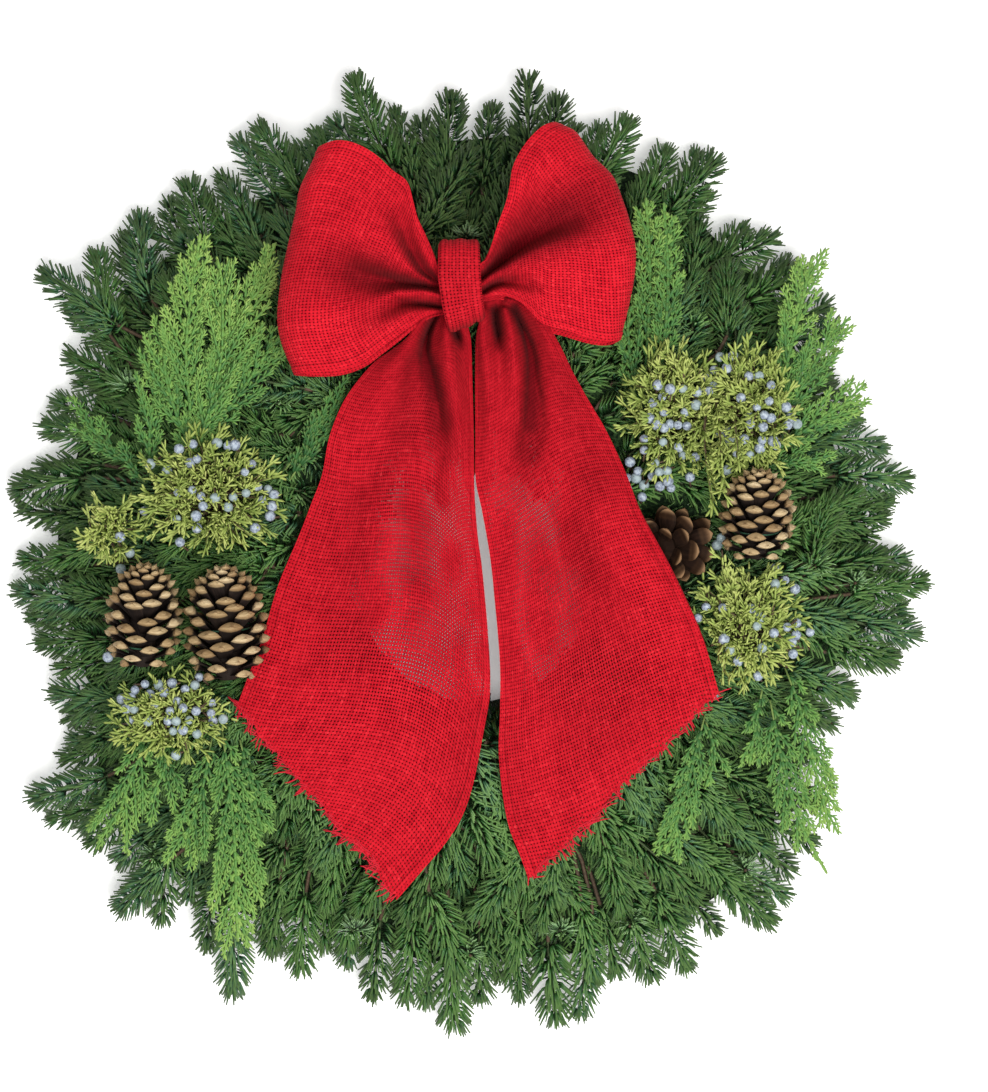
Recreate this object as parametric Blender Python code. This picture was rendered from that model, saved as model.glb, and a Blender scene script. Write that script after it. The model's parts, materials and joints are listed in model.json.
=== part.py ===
"""Fresh evergreen wreath, lying on its back.

X and Y span the wreath's plane, +Y runs to the bow side (the wreath's top),
and +Z leaves the front face. Twelve fir bunches sit in twelve wire clamps on a
double wire ring, and carry cedar sprays, juniper sprigs, four pine cones and a
burlap bow with two long tails. Everything is laid out round the ring's centre,
and at the end the whole wreath is moved so that its origin is the middle of
its underside.
"""

import math

import bmesh
import bpy
from mathutils import Vector

MM = 0.001

# ---------------------------------------------------------------- dimensions
RAIL_IN_R = 0.144          # inner rail of the wreath ring
RAIL_OUT_R = 0.162         # outer rail
RAIL_WIRE_R = 0.00175      # 3.5 mm wire
RAIL_Z = 0.00475
CLAMP_WIRE_R = 0.00125     # 2.5 mm wire
CLAMP_BASE_Z = 0.0081
STEM_R = 0.0085            # bundle of cut stems held by a clamp
STEM_Z = 0.0187
STEM_MID_R = 0.153
TIE_WIRE_R = 0.0006        # florist's wire
HOLE_CENTRE = (0.003, -0.022)
HOLE_R = 0.064             # clear middle of the wreath
CHANNEL = (0.126, 0.130, 0.176, 0.180)   # groove in the greenery round the ring
CHANNEL_TOP = 0.034
BUNCH_GAP = 0.0015         # half the gap between two bunches
RIBBON_T = 0.003

# Where one bunch ends and the next begins, in degrees from +X.
SEAMS = (5.0, 34.0, 63.0, 92.0, 125.0, 158.5, 196.0, 222.0, 249.7, 278.5, 307.3, 336.2)

# Tips of the shoots that make the rim, in millimetres from the ring's centre.
RIM_TIPS = (
    (293, 50), (304, -14), (296, -52), (260, -94), (236, -150), (201, -244),
    (144, -274), (68, -307), (-10, -315), (-43, -297), (-111, -277), (-160, -290),
    (-234, -241), (-293, -160), (-278, -88), (-304, -22), (-304, 43), (-284, 89),
    (-268, 135), (-281, 190), (-226, 226), (-186, 246), (-150, 284), (-105, 286),
    (-78, 319), (-13, 308), (16, 301), (37, 320), (72, 288), (105, 281),
    (162, 265), (206, 210), (226, 187), (245, 151), (241, 120),
)

# Fir: height of the greenery's front over the surface, by distance from the ring's centre.
FIR_TOP = ((0.0, 0.022), (0.070, 0.034), (0.100, 0.048), (0.128, 0.054), (0.200, 0.054),
           (0.240, 0.044), (0.280, 0.030), (0.320, 0.022))


def lerp_table(table, x):
    if x <= table[0][0]:
        return table[0][1]
    for (x0, y0), (x1, y1) in zip(table, table[1:]):
        if x <= x1:
            return y0 + (y1 - y0) * (x - x0) / (x1 - x0)
    return table[-1][1]


def fir_top(x, y):
    top = lerp_table(FIR_TOP, math.hypot(x, y))
    # a hollow in the greenery where the low cone at the right is bedded
    d = math.hypot(x - 0.131, y - 0.007)
    if d < 0.054:
        top = min(top, 0.030)
    return top


# ------------------------------------------------------------------- helpers
for old in list(bpy.data.objects):
    bpy.data.objects.remove(old, do_unlink=True)

SCENE = bpy.context.scene.collection


def material(name, color, roughness, metallic=0.0):
    mat = bpy.data.materials.new(name)
    mat.use_nodes = True
    shader = mat.node_tree.nodes["Principled BSDF"]
    shader.inputs["Base Color"].default_value = (*color, 1.0)
    shader.inputs["Roughness"].default_value = roughness
    shader.inputs["Metallic"].default_value = metallic
    mat.diffuse_color = (*color, 1.0)
    return mat


FIR = material("fir_green", (0.035, 0.105, 0.045), 0.55)
CEDAR = material("cedar_green", (0.19, 0.34, 0.07), 0.55)
JUNIPER = material("juniper_green", (0.24, 0.30, 0.09), 0.6)
CONE = material("cone_brown", (0.30, 0.18, 0.09), 0.7)
BURLAP = material("burlap_red", (0.55, 0.01, 0.02), 0.85)
RING_WIRE = material("green_painted_wire", (0.02, 0.06, 0.03), 0.4, 0.0)
TIE_WIRE = material("florist_wire", (0.05, 0.16, 0.09), 0.35, 0.6)


def to_object(name, bm, mat, smooth=True):
    bmesh.ops.recalc_face_normals(bm, faces=bm.faces)
    mesh = bpy.data.meshes.new(name)
    bm.to_mesh(mesh)
    bm.free()
    mesh.materials.append(mat)
    if smooth:
        mesh.shade_smooth()
        mesh.set_sharp_from_angle(angle=math.radians(40))
    obj = bpy.data.objects.new(name, mesh)
    SCENE.objects.link(obj)
    return obj


def tube_bmesh(points, radii, sides, lobes=0.0):
    """A closed tube through points. lobes makes every other side point stand in, as on a bundle of stems."""
    bm = bmesh.new()
    points = [Vector(p) for p in points]
    rings = []
    side = None
    for i, p in enumerate(points):
        a = points[max(i - 1, 0)]
        b = points[min(i + 1, len(points) - 1)]
        t = (b - a).normalized()
        if side is None:
            side = t.cross(Vector((0, 0, 1)))
            if side.length < 0.1:
                side = t.cross(Vector((1, 0, 0)))
        side = (side - t * side.dot(t)).normalized()
        up = side.cross(t)
        ring = []
        for k in range(sides):
            phi = 2 * math.pi * k / sides
            r = radii[i] * (1.0 - (lobes if k % 2 else 0.0))
            ring.append(bm.verts.new(p + side * (r * math.cos(phi)) + up * (r * math.sin(phi))))
        rings.append(ring)
    for one, two in zip(rings, rings[1:]):
        for k in range(sides):
            n = (k + 1) % sides
            bm.faces.new((one[k], one[n], two[n], two[k]))
    bm.faces.new(list(reversed(rings[0])))
    bm.faces.new(rings[-1])
    return bm


def wire(name, points, radius, mat, closed=False, resolution=1):
    """Bent wire: a curve with a round bevel."""
    curve = bpy.data.curves.new(name, "CURVE")
    curve.dimensions = "3D"
    curve.bevel_depth = radius
    curve.bevel_resolution = resolution
    curve.use_fill_caps = not closed
    spline = curve.splines.new("POLY")
    spline.points.add(len(points) - 1)
    for slot, p in zip(spline.points, points):
        slot.co = (p[0], p[1], p[2], 1.0)
    spline.use_cyclic_u = closed
    curve.materials.append(mat)
    obj = bpy.data.objects.new(name, curve)
    SCENE.objects.link(obj)
    return obj


def slab_bmesh(rows_top, rows_bottom):
    """A closed body between two grids of points of the same size."""
    bm = bmesh.new()
    top = [[bm.verts.new(p) for p in row] for row in rows_top]
    bottom = [[bm.verts.new(p) for p in row] for row in rows_bottom]
    n, m = len(top), len(top[0])
    for i in range(n - 1):
        for j in range(m - 1):
            bm.faces.new((top[i][j], top[i + 1][j], top[i + 1][j + 1], top[i][j + 1]))
            bm.faces.new((bottom[i][j], bottom[i][j + 1], bottom[i + 1][j + 1], bottom[i + 1][j]))
    for i in range(n - 1):
        bm.faces.new((top[i][0], bottom[i][0], bottom[i + 1][0], top[i + 1][0]))
        bm.faces.new((top[i][m - 1], top[i + 1][m - 1], bottom[i + 1][m - 1], bottom[i][m - 1]))
    for j in range(m - 1):
        bm.faces.new((top[0][j], top[0][j + 1], bottom[0][j + 1], bottom[0][j]))
        bm.faces.new((top[n - 1][j], bottom[n - 1][j], bottom[n - 1][j + 1], top[n - 1][j + 1]))
    return bm


def polar(r, degrees, z=0.0):
    a = math.radians(degrees)
    return (r * math.cos(a), r * math.sin(a), z)


# ---------------------------------------------------------------- wreath ring
for name, radius in (("ring_wire_inner", RAIL_IN_R), ("ring_wire_outer", RAIL_OUT_R)):
    wire(name, [polar(radius, 7.5 * k, RAIL_Z) for k in range(48)], RAIL_WIRE_R, RING_WIRE, closed=True)

# Clamp: a wire staple across the rails, its legs folded over the stems.
CLAMP_SHAPE = ((2.9, 30.6), (7.0, 30.4), (10.2, 28.6), (11.6, 25.0), (11.9, 18.0), (11.5, 11.5),
               (9.0, 8.1), (0.0, 8.1), (-9.0, 8.1), (-11.5, 11.5), (-11.9, 18.0), (-11.6, 25.0),
               (-10.2, 28.6), (-7.0, 30.4), (-2.9, 30.6))
for i, seam in enumerate(SEAMS):
    wire(f"clamp_{i + 1:02d}",
         [polar(STEM_MID_R + dr * MM, seam - 4.0, z * MM) for dr, z in CLAMP_SHAPE],
         CLAMP_WIRE_R, RING_WIRE)


# ----------------------------------------------------------------- fir bunches
def inner_radius(degrees):
    """Distance from the ring's centre to the edge of the clear middle."""
    a = math.radians(degrees)
    along = HOLE_CENTRE[0] * math.cos(a) + HOLE_CENTRE[1] * math.sin(a)
    across = -HOLE_CENTRE[0] * math.sin(a) + HOLE_CENTRE[1] * math.cos(a)
    return along + math.sqrt(HOLE_R ** 2 - across ** 2)


TIPS = sorted((math.degrees(math.atan2(y, x)) % 360.0, math.hypot(x, y) * MM) for x, y in RIM_TIPS)


def bunch_columns(start, end):
    """(angle, rim radius, is a shoot) across one bunch: a shoot at each tip, and a notch between two."""
    span = [(a, r) for base in (-360, 0, 360) for a, r in ((t[0] + base, t[1]) for t in TIPS)
            if start + 2.5 < a < end - 2.5]
    if not span:
        span = [((start + end) / 2, 0.285)]
    columns = [(start, span[0][1] - 0.030, False)]
    for (a0, r0), (a1, r1) in zip(span, span[1:]):
        columns.append((a0, r0, True))
        if a1 - a0 > 3.4:
            columns.append(((a0 + a1) / 2, min(r0, r1) - 0.026, False))
    columns.append((span[-1][0], span[-1][1], True))
    columns.append((end, span[-1][1] - 0.030, False))
    return columns


def fir_bunch(number, start, end):
    columns = bunch_columns(start, end)
    top, bottom = [], []
    for c, (angle, rim, shoot) in enumerate(columns):
        a = math.radians(angle)
        shift = BUNCH_GAP if c == 0 else -BUNCH_GAP if c == len(columns) - 1 else 0.0
        shift_x, shift_y = -math.sin(a) * shift, math.cos(a) * shift
        rim = max(rim, 0.236)
        inner = inner_radius(angle)
        radii = [inner, (inner + CHANNEL[0]) / 2, *CHANNEL, 0.205, 0.205 + 0.55 * (rim - 0.205), rim]
        lows = [0.004, 0.0, 0.0, CHANNEL_TOP, CHANNEL_TOP, 0.0, 0.0, 0.0, 0.010]
        up, low = [], []
        for k, (r, z_low) in enumerate(zip(radii, lows)):
            x, y = r * math.cos(a) + shift_x, r * math.sin(a) + shift_y
            z = fir_top(x, y) - (0.0 if shoot else 0.004) - (0.003 if k in (1, 6) else 0.0)
            if k == len(radii) - 1:
                z = 0.024 if shoot else 0.020
            up.append((x, y, max(z, z_low + 0.003)))
            low.append((x, y, z_low))
        top.append(up)
        bottom.append(low)
    body = to_object(f"fir_bunch_{number:02d}", slab_bmesh(top, bottom), FIR)

    # the cut stems, which lie in the clamp and rise into the greenery
    path = [(-7.5, STEM_Z, 0.86), (-4.0, STEM_Z, 1.0), (0.0, STEM_Z, 1.0), (2.5, STEM_Z + 0.001, 1.0),
            (5.5, 0.030, 0.95), (9.0, 0.040, 0.8)]
    points = [polar(STEM_MID_R, start + d, z) for d, z, _ in path]
    stems = to_object(f"stems_{number:02d}",
                      tube_bmesh(points, [STEM_R * s for _, _, s in path], 10, lobes=0.14), FIR)
    stems.hide_render = True
    stems.display_type = "WIRE"
    join = body.modifiers.new("stems", "BOOLEAN")
    join.operation = "UNION"
    join.object = stems
    return body


for i, seam in enumerate(SEAMS):
    following = SEAMS[i + 1] if i + 1 < len(SEAMS) else SEAMS[0] + 360.0
    fir_bunch(i + 1, seam, following)


# --------------------------------------------------------------- cedar sprays
# Flat branched sprays that lie on the fir: axis in millimetres, then half widths.
CEDARS = (
    (((-180, 84), (-178, 120), (-172, 160), (-160, 207)), (9, 26, 34, 8)),
    (((-219, 46), (-232, 62), (-250, 86)), (7, 13, 4)),
    (((-84, 48), (-100, 74), (-117, 103)), (8, 18, 6)),
    (((-176, -86), (-198, -118), (-214, -142), (-231, -171)), (9, 22, 19, 5)),
    (((-158, -96), (-158, -140), (-160, -190), (-153, -247)), (10, 27, 24, 4)),
    (((116, 104), (118, 150), (121, 190), (120, 231)), (5, 12, 11, 4)),
    (((206, 84), (222, 118), (234, 150), (228, 196)), (9, 26, 24, 5)),
    (((150, -95), (143, -125), (136, -160), (129, -191)), (6, 17, 13, 4)),
    (((187, -64), (198, -100), (212, -140), (231, -204)), (8, 24, 22, 4)),
)


def spray(name, axis, widths):
    """Each side of the axis is toothed, as the side branchlets make it."""
    steps = 10
    pts = [Vector((x * MM, y * MM, 0)) for x, y in axis]
    spans = [(b - a).length for a, b in zip(pts, pts[1:])]
    total = sum(spans)
    rows_top, rows_bottom = [], []
    for s in range(steps + 1):
        d = total * s / steps
        k = 0
        while k < len(spans) - 1 and d > spans[k]:
            d -= spans[k]
            k += 1
        f = min(d / spans[k], 1.0)
        p = pts[k].lerp(pts[k + 1], f)
        w = (widths[k] + (widths[k + 1] - widths[k]) * f) * MM
        t = (pts[k + 1] - pts[k]).normalized()
        side = Vector((t.y, -t.x, 0))
        tooth = 1.0 if s % 2 else 0.62
        if s in (0, steps):
            tooth = 1.0
        up, low = [], []
        for across in (-1.0, 0.0, 1.0):
            q = p + side * (w * tooth * across) + t * (0.004 * abs(across) if 0 < s < steps else 0)
            base = max(fir_top(q.x, q.y), fir_top(p.x, p.y)) + 0.0022
            up.append((q.x, q.y, base + 0.0045 + (0.001 if across == 0 else 0)))
            low.append((q.x, q.y, base))
        rows_top.append(up)
        rows_bottom.append(low)
    return to_object(name, slab_bmesh(rows_top, rows_bottom), CEDAR)


for i, (axis, widths) in enumerate(CEDARS):
    spray(f"cedar_sprig_{i + 1:02d}", axis, widths)


# -------------------------------------------------------------- juniper sprigs
# Bushy mounds: centre, half sizes along X and Y, height, all in millimetres.
JUNIPERS = (
    (-167, 39, 44, 39, 28),
    (-233, 14, 15, 20, 18),
    (-194, -106, 34, 28, 27),
    (131, 94, 27, 44, 28),
    (187, 99, 24, 40, 28),
    (183, -53, 33, 33, 27),
)
JUNIPER_BASE = 0.0630


def mound(name, cx, cy, ax, ay, height, seed):
    bm = bmesh.new()
    around = 12
    levels = ((0.90, 0.0), (1.0, 0.30), (0.84, 0.72), (0.46, 0.95))
    rings = []
    for scale, lift in levels:
        ring = []
        for k in range(around):
            phi = 2 * math.pi * k / around
            lobe = 1.0 if (k + seed) % 2 else 0.88
            ring.append(bm.verts.new((
                (cx + ax * scale * lobe * math.cos(phi)) * MM,
                (cy + ay * scale * lobe * math.sin(phi)) * MM,
                JUNIPER_BASE + height * MM * (lift - (0.07 * lift if lobe < 1 else 0)))))
        rings.append(ring)
    crown = bm.verts.new((cx * MM, cy * MM, JUNIPER_BASE + height * MM))
    for one, two in zip(rings, rings[1:]):
        for k in range(around):
            n = (k + 1) % around
            bm.faces.new((one[k], one[n], two[n], two[k]))
    for k in range(around):
        bm.faces.new((rings[-1][k], rings[-1][(k + 1) % around], crown))
    bm.faces.new(list(reversed(rings[0])))
    return to_object(name, bm, JUNIPER)


for i, row in enumerate(JUNIPERS):
    mound(f"juniper_sprig_{i + 1:02d}", *row, seed=i)


# ------------------------------------------------------------------ pine cones
# Centre, axis towards the tip, length and greatest radius in millimetres, then the
# seam that its wire goes down, the rail it is hooked on, and where its waist is.
# The third cone is bedded tip first, so its open base faces the front.
CONES = (
    ((-211, -40, 84), (0.05, 1.0, 0.22), 66, 25.5, 196.0, RAIL_OUT_R, 0.24),
    ((-158, -45, 85), (-0.03, 1.0, 0.16), 73, 28.0, 196.0, RAIL_IN_R, 0.49),
    ((131, 7, 63.5), (0.20, 0.12, -1.0), 48, 28.0, 5.0, RAIL_IN_R, 0.55),
    ((186, 25, 84), (0.04, 1.0, 0.25), 56, 25.0, 5.0, RAIL_OUT_R, 0.36),
)
CONE_PROFILE = ((0.0, 0.22), (0.06, 0.62), (0.16, 0.88), (0.30, 1.0), (0.45, 0.98),
                (0.60, 0.88), (0.74, 0.70), (0.86, 0.48), (0.95, 0.26))


def cone_frame(direction):
    d = Vector(direction).normalized()
    side = d.cross(Vector((0, 0, 1))).normalized()
    return d, side, side.cross(d)


def pine_cone(name, centre, direction, length, radius, groove):
    """Turned body with its scales standing out in staggered rings, and a waist for the binding wire."""
    bm = bmesh.new()
    d, side, up = cone_frame(direction)
    c = Vector(centre) * MM
    around = 12
    rings = []
    stations = []
    for t, s in CONE_PROFILE:
        if abs(t - groove) > 0.07:
            stations.append((t, s, False))
    stations += [(groove - 0.06, lerp_table(CONE_PROFILE, groove), False), (groove, 0.0, True),
                 (groove + 0.06, lerp_table(CONE_PROFILE, groove), False)]
    stations.sort()
    for n, (t, s, waist) in enumerate(stations):
        ring = []
        for k in range(around):
            phi = 2 * math.pi * (k + 0.5) / around
            if waist:
                r = lerp_table(CONE_PROFILE, t) * radius * MM - 0.0042
            else:
                r = s * radius * MM * (1.0 if (k + n) % 2 else 0.90)
            ring.append(bm.verts.new(c + d * ((t - 0.5) * length * MM) + side * (r * math.cos(phi)) + up * (r * math.sin(phi))))
        rings.append(ring)
    base = bm.verts.new(c - d * (0.5 * length * MM + 0.001))
    tip = bm.verts.new(c + d * (0.5 * length * MM))
    for one, two in zip(rings, rings[1:]):
        for k in range(around):
            n = (k + 1) % around
            bm.faces.new((one[k], one[n], two[n], two[k]))
    for k in range(around):
        n = (k + 1) % around
        bm.faces.new((rings[0][n], rings[0][k], base))
        bm.faces.new((rings[-1][k], rings[-1][n], tip))
    to_object(name, bm, CONE)


def rail_hook(rail, outside):
    """Points, in distance from the centre and height, of a wire bent round a rail."""
    s = 1.0 if outside else -1.0
    gap = RAIL_WIRE_R + TIE_WIRE_R + 0.0010
    return [(rail + s * gap, RAIL_Z + 0.001), (rail + s * gap * 0.86, RAIL_Z - gap * 0.55),
            (rail + s * gap * 0.28, RAIL_Z - gap), (rail - s * gap * 0.35, RAIL_Z - gap),
            (rail - s * gap * 0.90, RAIL_Z - gap * 0.5), (rail - s * gap, RAIL_Z + 0.0006)]


def cone_wire(name, centre, direction, length, radius, seam, rail, groove):
    """One turn round the cone's waist, then down between two bunches and round a rail."""
    d, side, up = cone_frame(direction)
    c = Vector(centre) * MM + d * ((groove - 0.5) * length * MM)
    r = lerp_table(CONE_PROFILE, groove) * radius * MM - 0.0042 + 0.0018
    points = []
    upright = abs(d.z) > 0.8
    # the turn ends at the underside, or on an upright cone at the side nearest the ring's centre
    end = math.degrees(math.atan2(Vector((-1, 0.09, 0)).dot(up), Vector((-1, 0.09, 0)).dot(side))) if upright else 250.0
    for k in range(0, 23):
        phi = math.radians(end - 322 * (22 - k) / 22)
        points.append(c + side * (r * math.cos(phi)) + up * (r * math.sin(phi)))
    last = c + side * ((r + 0.0062) * math.cos(phi)) + up * ((r + 0.0062) * math.sin(phi))
    points.append(last)
    a = math.radians(seam)
    out = Vector((math.cos(a), math.sin(a), 0))
    reach = last.dot(out)
    outside = rail == RAIL_OUT_R
    line = (STEM_MID_R + 0.0145) if outside else (STEM_MID_R - 0.0145)
    start = min(0.0555, last.z - 0.0008)
    if upright:
        legs = [(reach, last.z - 0.004), (reach + 0.006, 0.032), (0.5 * (reach + line), 0.017), (line, 0.0085)]
    else:
        legs = [(reach, start), (line + 0.4 * (reach - line), 0.0345 + 0.6 * (start - 0.0345)),
                (line, 0.0345), (line, 0.020), (line, 0.009)]
    points += [out * q + Vector((0, 0, z)) for q, z in legs + rail_hook(rail, outside)]
    wire(name, points, TIE_WIRE_R, TIE_WIRE)


for i, (centre, direction, length, radius, seam, rail, groove) in enumerate(CONES):
    pine_cone(f"pine_cone_{i + 1:02d}", centre, direction, length, radius, groove)
    cone_wire(f"cone_wire_{i + 1:02d}", centre, direction, length, radius, seam, rail, groove)


# ------------------------------------------------------------------------- bow
def along(points, count):
    """count points evenly spaced along a line through points, in millimetres."""
    pts = [Vector((x, y, 0)) for x, y in points]
    spans = [(b - a).length for a, b in zip(pts, pts[1:])]
    total = sum(spans)
    out = []
    for s in range(count):
        d = total * s / (count - 1)
        k = 0
        while k < len(spans) - 1 and d > spans[k]:
            d -= spans[k]
            k += 1
        out.append(pts[k].lerp(pts[k + 1], min(d / spans[k], 1.0)))
    return out


def bow_loop(name, upper, lower, knot, fold):
    """A puffed loop: pinched at the knot, deepest in its middle, closed along the fold."""
    n, m = 7, 7
    up, low, near, far = along(upper, n), along(lower, n), along(knot, m), along(fold, m)
    front, back = [], []
    for i in range(n):
        u = i / (n - 1)
        row_f, row_b = [], []
        for j in range(m):
            v = j / (m - 1)
            p = (up[i] * (1 - v) + low[i] * v + near[j] * (1 - u) + far[j] * u
                 - (up[0] * (1 - u) * (1 - v) + low[0] * (1 - u) * v + up[-1] * u * (1 - v) + low[-1] * u * v))
            puff = math.sin(math.pi * min(1.0, 0.18 + 0.82 * u))
            crease = 1.0 - 0.22 * math.exp(-((v - 0.5) / 0.16) ** 2) * (1 - u)
            z_front = 102 + 28 * puff * crease * (0.75 + 0.25 * math.sin(math.pi * v))
            z_back = 98 - 10 * puff
            row_f.append((p.x * MM, p.y * MM, z_front * MM))
            row_b.append((p.x * MM, p.y * MM, z_back * MM))
        front.append(row_f)
        back.append(row_b)
    return to_object(name, slab_bmesh(front, back), BURLAP)


bow_loop("bow_loop_left",
         ((-25, 196), (-31, 215), (-38, 236), (-59, 256), (-82, 270), (-98, 268)),
         ((-25, 160), (-42, 149), (-59, 137), (-72, 129), (-98, 122), (-116, 121)),
         ((-25, 196), (-25, 160)),
         ((-98, 268), (-111, 233), (-121, 197), (-124, 167), (-122, 138), (-116, 121)))
bow_loop("bow_loop_right",
         ((12, 190), (16, 207), (24, 236), (33, 259), (49, 279), (57, 282)),
         ((12, 163), (52, 151), (78, 141), (99, 141)),
         ((12, 190), (12, 163)),
         ((57, 282), (72, 272), (88, 252), (101, 230), (108, 200), (106, 167), (99, 141)))


def ribbon_tail(name, left, right, height):
    """A flat run of ribbon draped from the knot to its slanting cut end."""
    n, m = 13, 6
    lefts, rights = along(left, n), along(right, n)
    bm = bmesh.new()
    grid = []
    for i in range(n):
        row = []
        for j in range(m):
            p = lefts[i].lerp(rights[i], j / (m - 1))
            row.append(bm.verts.new((p.x * MM, p.y * MM, height(p.x, p.y, i / (n - 1), j / (m - 1)) * MM)))
        grid.append(row)
    for i in range(n - 1):
        for j in range(m - 1):
            bm.faces.new((grid[i][j], grid[i + 1][j], grid[i + 1][j + 1], grid[i][j + 1]))
    obj = to_object(name, bm, BURLAP)
    skin = obj.modifiers.new("thickness", "SOLIDIFY")
    skin.thickness = RIBBON_T
    skin.offset = 0.0
    return obj


def tail_height(x, y, u, v):
    """Down from the knot, then level over the greenery and the clear middle."""
    fall = max(0.0, min(1.0, (146 - y) / 62))
    fall = fall * fall * (3 - 2 * fall)
    return 77.5 - 11 * fall + 3.0 * math.sin(math.pi * v)


def right_tail_height(x, y, u, v):
    """The outer edge also rides up on the low cone."""
    lift = 29.0 * math.exp(-((y - 2) / 50) ** 2) * max(0.0, (v - 0.45) / 0.55) ** 1.3
    return tail_height(x, y, u, v) + lift


ribbon_tail("bow_tail_left",
            ((-27, 145), (-59, 116), (-85, 88), (-95, 50), (-111, -3), (-136, -61), (-150, -96)),
            ((-3, 145), (-2, 102), (-1.6, 60), (2, 37), (8, -10), (11, -50), (12, -94), (0, -153), (-26, -200), (-46, -223)),
            tail_height)
ribbon_tail("bow_tail_right",
            ((1.5, 145), (1.6, 102), (4.5, 37), (12, -10), (16, -50), (20, -94), (22, -153), (29, -192), (42, -215)),
            ((24, 145), (49, 130), (76, 108), (101, 69), (124, 10), (144, -45), (158, -90)),
            right_tail_height)


def knot_band():
    """The band round the bow's waist: a slightly tapered, crowned block."""
    bm = bmesh.new()
    rings = []
    for y, half_low, half_up, z0, z1 in ((149, 12.5, 12.5, 86, 112), (155, 14.5, 14.5, 80, 124), (168, 15, 15, 78, 130),
                                         (184, 15.5, 15.5, 78, 130), (196, 15, 15, 80, 123), (202, 13.5, 13.5, 86, 112)):
        ring = []
        cx = -5.5 - (y - 149) * 0.06
        for dx, fz in ((-1.0, 0.15), (-1.0, 0.75), (-0.72, 1.0), (0.0, 1.06), (0.72, 1.0), (1.0, 0.75), (1.0, 0.15),
                       (0.72, 0.0), (0.0, 0.0), (-0.72, 0.0)):
            ring.append(bm.verts.new(((cx + dx * half_low) * MM, y * MM, (z0 + (z1 - z0) * fz) * MM)))
        rings.append(ring)
    for one, two in zip(rings, rings[1:]):
        for k in range(len(one)):
            n = (k + 1) % len(one)
            bm.faces.new((one[k], one[n], two[n], two[k]))
    bm.faces.new(list(reversed(rings[0])))
    bm.faces.new(rings[-1])
    return to_object("bow_knot", bm, BURLAP)


knot_band()

# The tie wire: a short bar under the knot, down between two bunches, round the outer rail.
a = math.radians(92.0)
OUT = Vector((math.cos(a), math.sin(a), 0))
ACROSS = Vector((-math.sin(a), math.cos(a), 0))
points = [OUT * 0.190 + ACROSS * 0.012 + Vector((0, 0, 0.0768)),
          OUT * 0.184 + ACROSS * 0.006 + Vector((0, 0, 0.0760)),
          OUT * 0.178 + Vector((0, 0, 0.0735)), OUT * 0.173 + Vector((0, 0, 0.067)),
          OUT * 0.170 + Vector((0, 0, 0.060)), OUT * 0.1685 + Vector((0, 0, 0.046)),
          OUT * 0.1675 + Vector((0, 0, 0.034)), OUT * 0.1675 + Vector((0, 0, 0.020)),
          OUT * 0.1668 + Vector((0, 0, 0.009))]
points += [OUT * q + Vector((0, 0, z)) for q, z in rail_hook(RAIL_OUT_R, True)]
wire("bow_wire", points, TIE_WIRE_R, TIE_WIRE)

# ------------------------------------------------- origin: middle of the underside
bpy.context.view_layer.update()
graph = bpy.context.evaluated_depsgraph_get()
low = Vector((9.0, 9.0, 9.0))
high = -low
for obj in SCENE.objects:
    if obj.hide_render:
        continue
    shape = obj.evaluated_get(graph).to_mesh()
    for v in shape.vertices:
        low = Vector(map(min, low, v.co))
        high = Vector(map(max, high, v.co))
    obj.evaluated_get(graph).to_mesh_clear()
home = bpy.data.objects.new("wreath", None)
SCENE.objects.link(home)
for obj in SCENE.objects:
    if obj is not home:
        obj.parent = home
home.location = (-(low.x + high.x) / 2, -(low.y + high.y) / 2, -low.z)
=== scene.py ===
"""Fresh evergreen wreath with a burlap bow: the looks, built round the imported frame.

Everything is laid out in millimetres round the ring's centre, as the solids are,
and moved to the frame when a piece is made.
"""

import json
import math

import bpy
import numpy as np
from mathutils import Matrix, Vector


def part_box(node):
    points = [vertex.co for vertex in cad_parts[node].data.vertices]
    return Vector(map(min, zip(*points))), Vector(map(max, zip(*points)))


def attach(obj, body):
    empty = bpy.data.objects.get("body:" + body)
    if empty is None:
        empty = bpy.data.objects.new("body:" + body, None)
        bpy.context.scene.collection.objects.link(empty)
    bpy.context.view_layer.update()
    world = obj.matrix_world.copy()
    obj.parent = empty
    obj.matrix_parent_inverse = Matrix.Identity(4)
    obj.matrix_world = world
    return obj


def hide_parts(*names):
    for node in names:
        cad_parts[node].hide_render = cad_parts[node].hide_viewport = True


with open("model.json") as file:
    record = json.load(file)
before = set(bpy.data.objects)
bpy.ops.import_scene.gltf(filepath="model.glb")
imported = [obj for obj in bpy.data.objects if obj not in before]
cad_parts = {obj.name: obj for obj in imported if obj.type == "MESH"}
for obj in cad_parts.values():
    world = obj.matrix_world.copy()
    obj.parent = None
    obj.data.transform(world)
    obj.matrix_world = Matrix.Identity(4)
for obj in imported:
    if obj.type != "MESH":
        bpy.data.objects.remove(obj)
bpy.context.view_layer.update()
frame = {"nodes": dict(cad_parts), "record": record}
record = frame["record"]

ring_lo, ring_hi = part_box("ring_wire_outer")
SHIFT = np.array([(ring_lo.x + ring_hi.x) / 2, (ring_lo.y + ring_hi.y) / 2, 0.0])
SEAMS = (5.0, 34.0, 63.0, 92.0, 125.0, 158.5, 196.0, 222.0, 249.7, 278.5, 307.3, 336.2)
HOLE = np.array([3.0, -22.0])
HOLE_R = 66.0

# ------------------------------------------------------------------ the camera
EYE = np.array([15.7, 6.5, 2440.0])
PLANE_Z = 60.0
MM_PER_STEP = 714.0 / 1092.0


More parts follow.
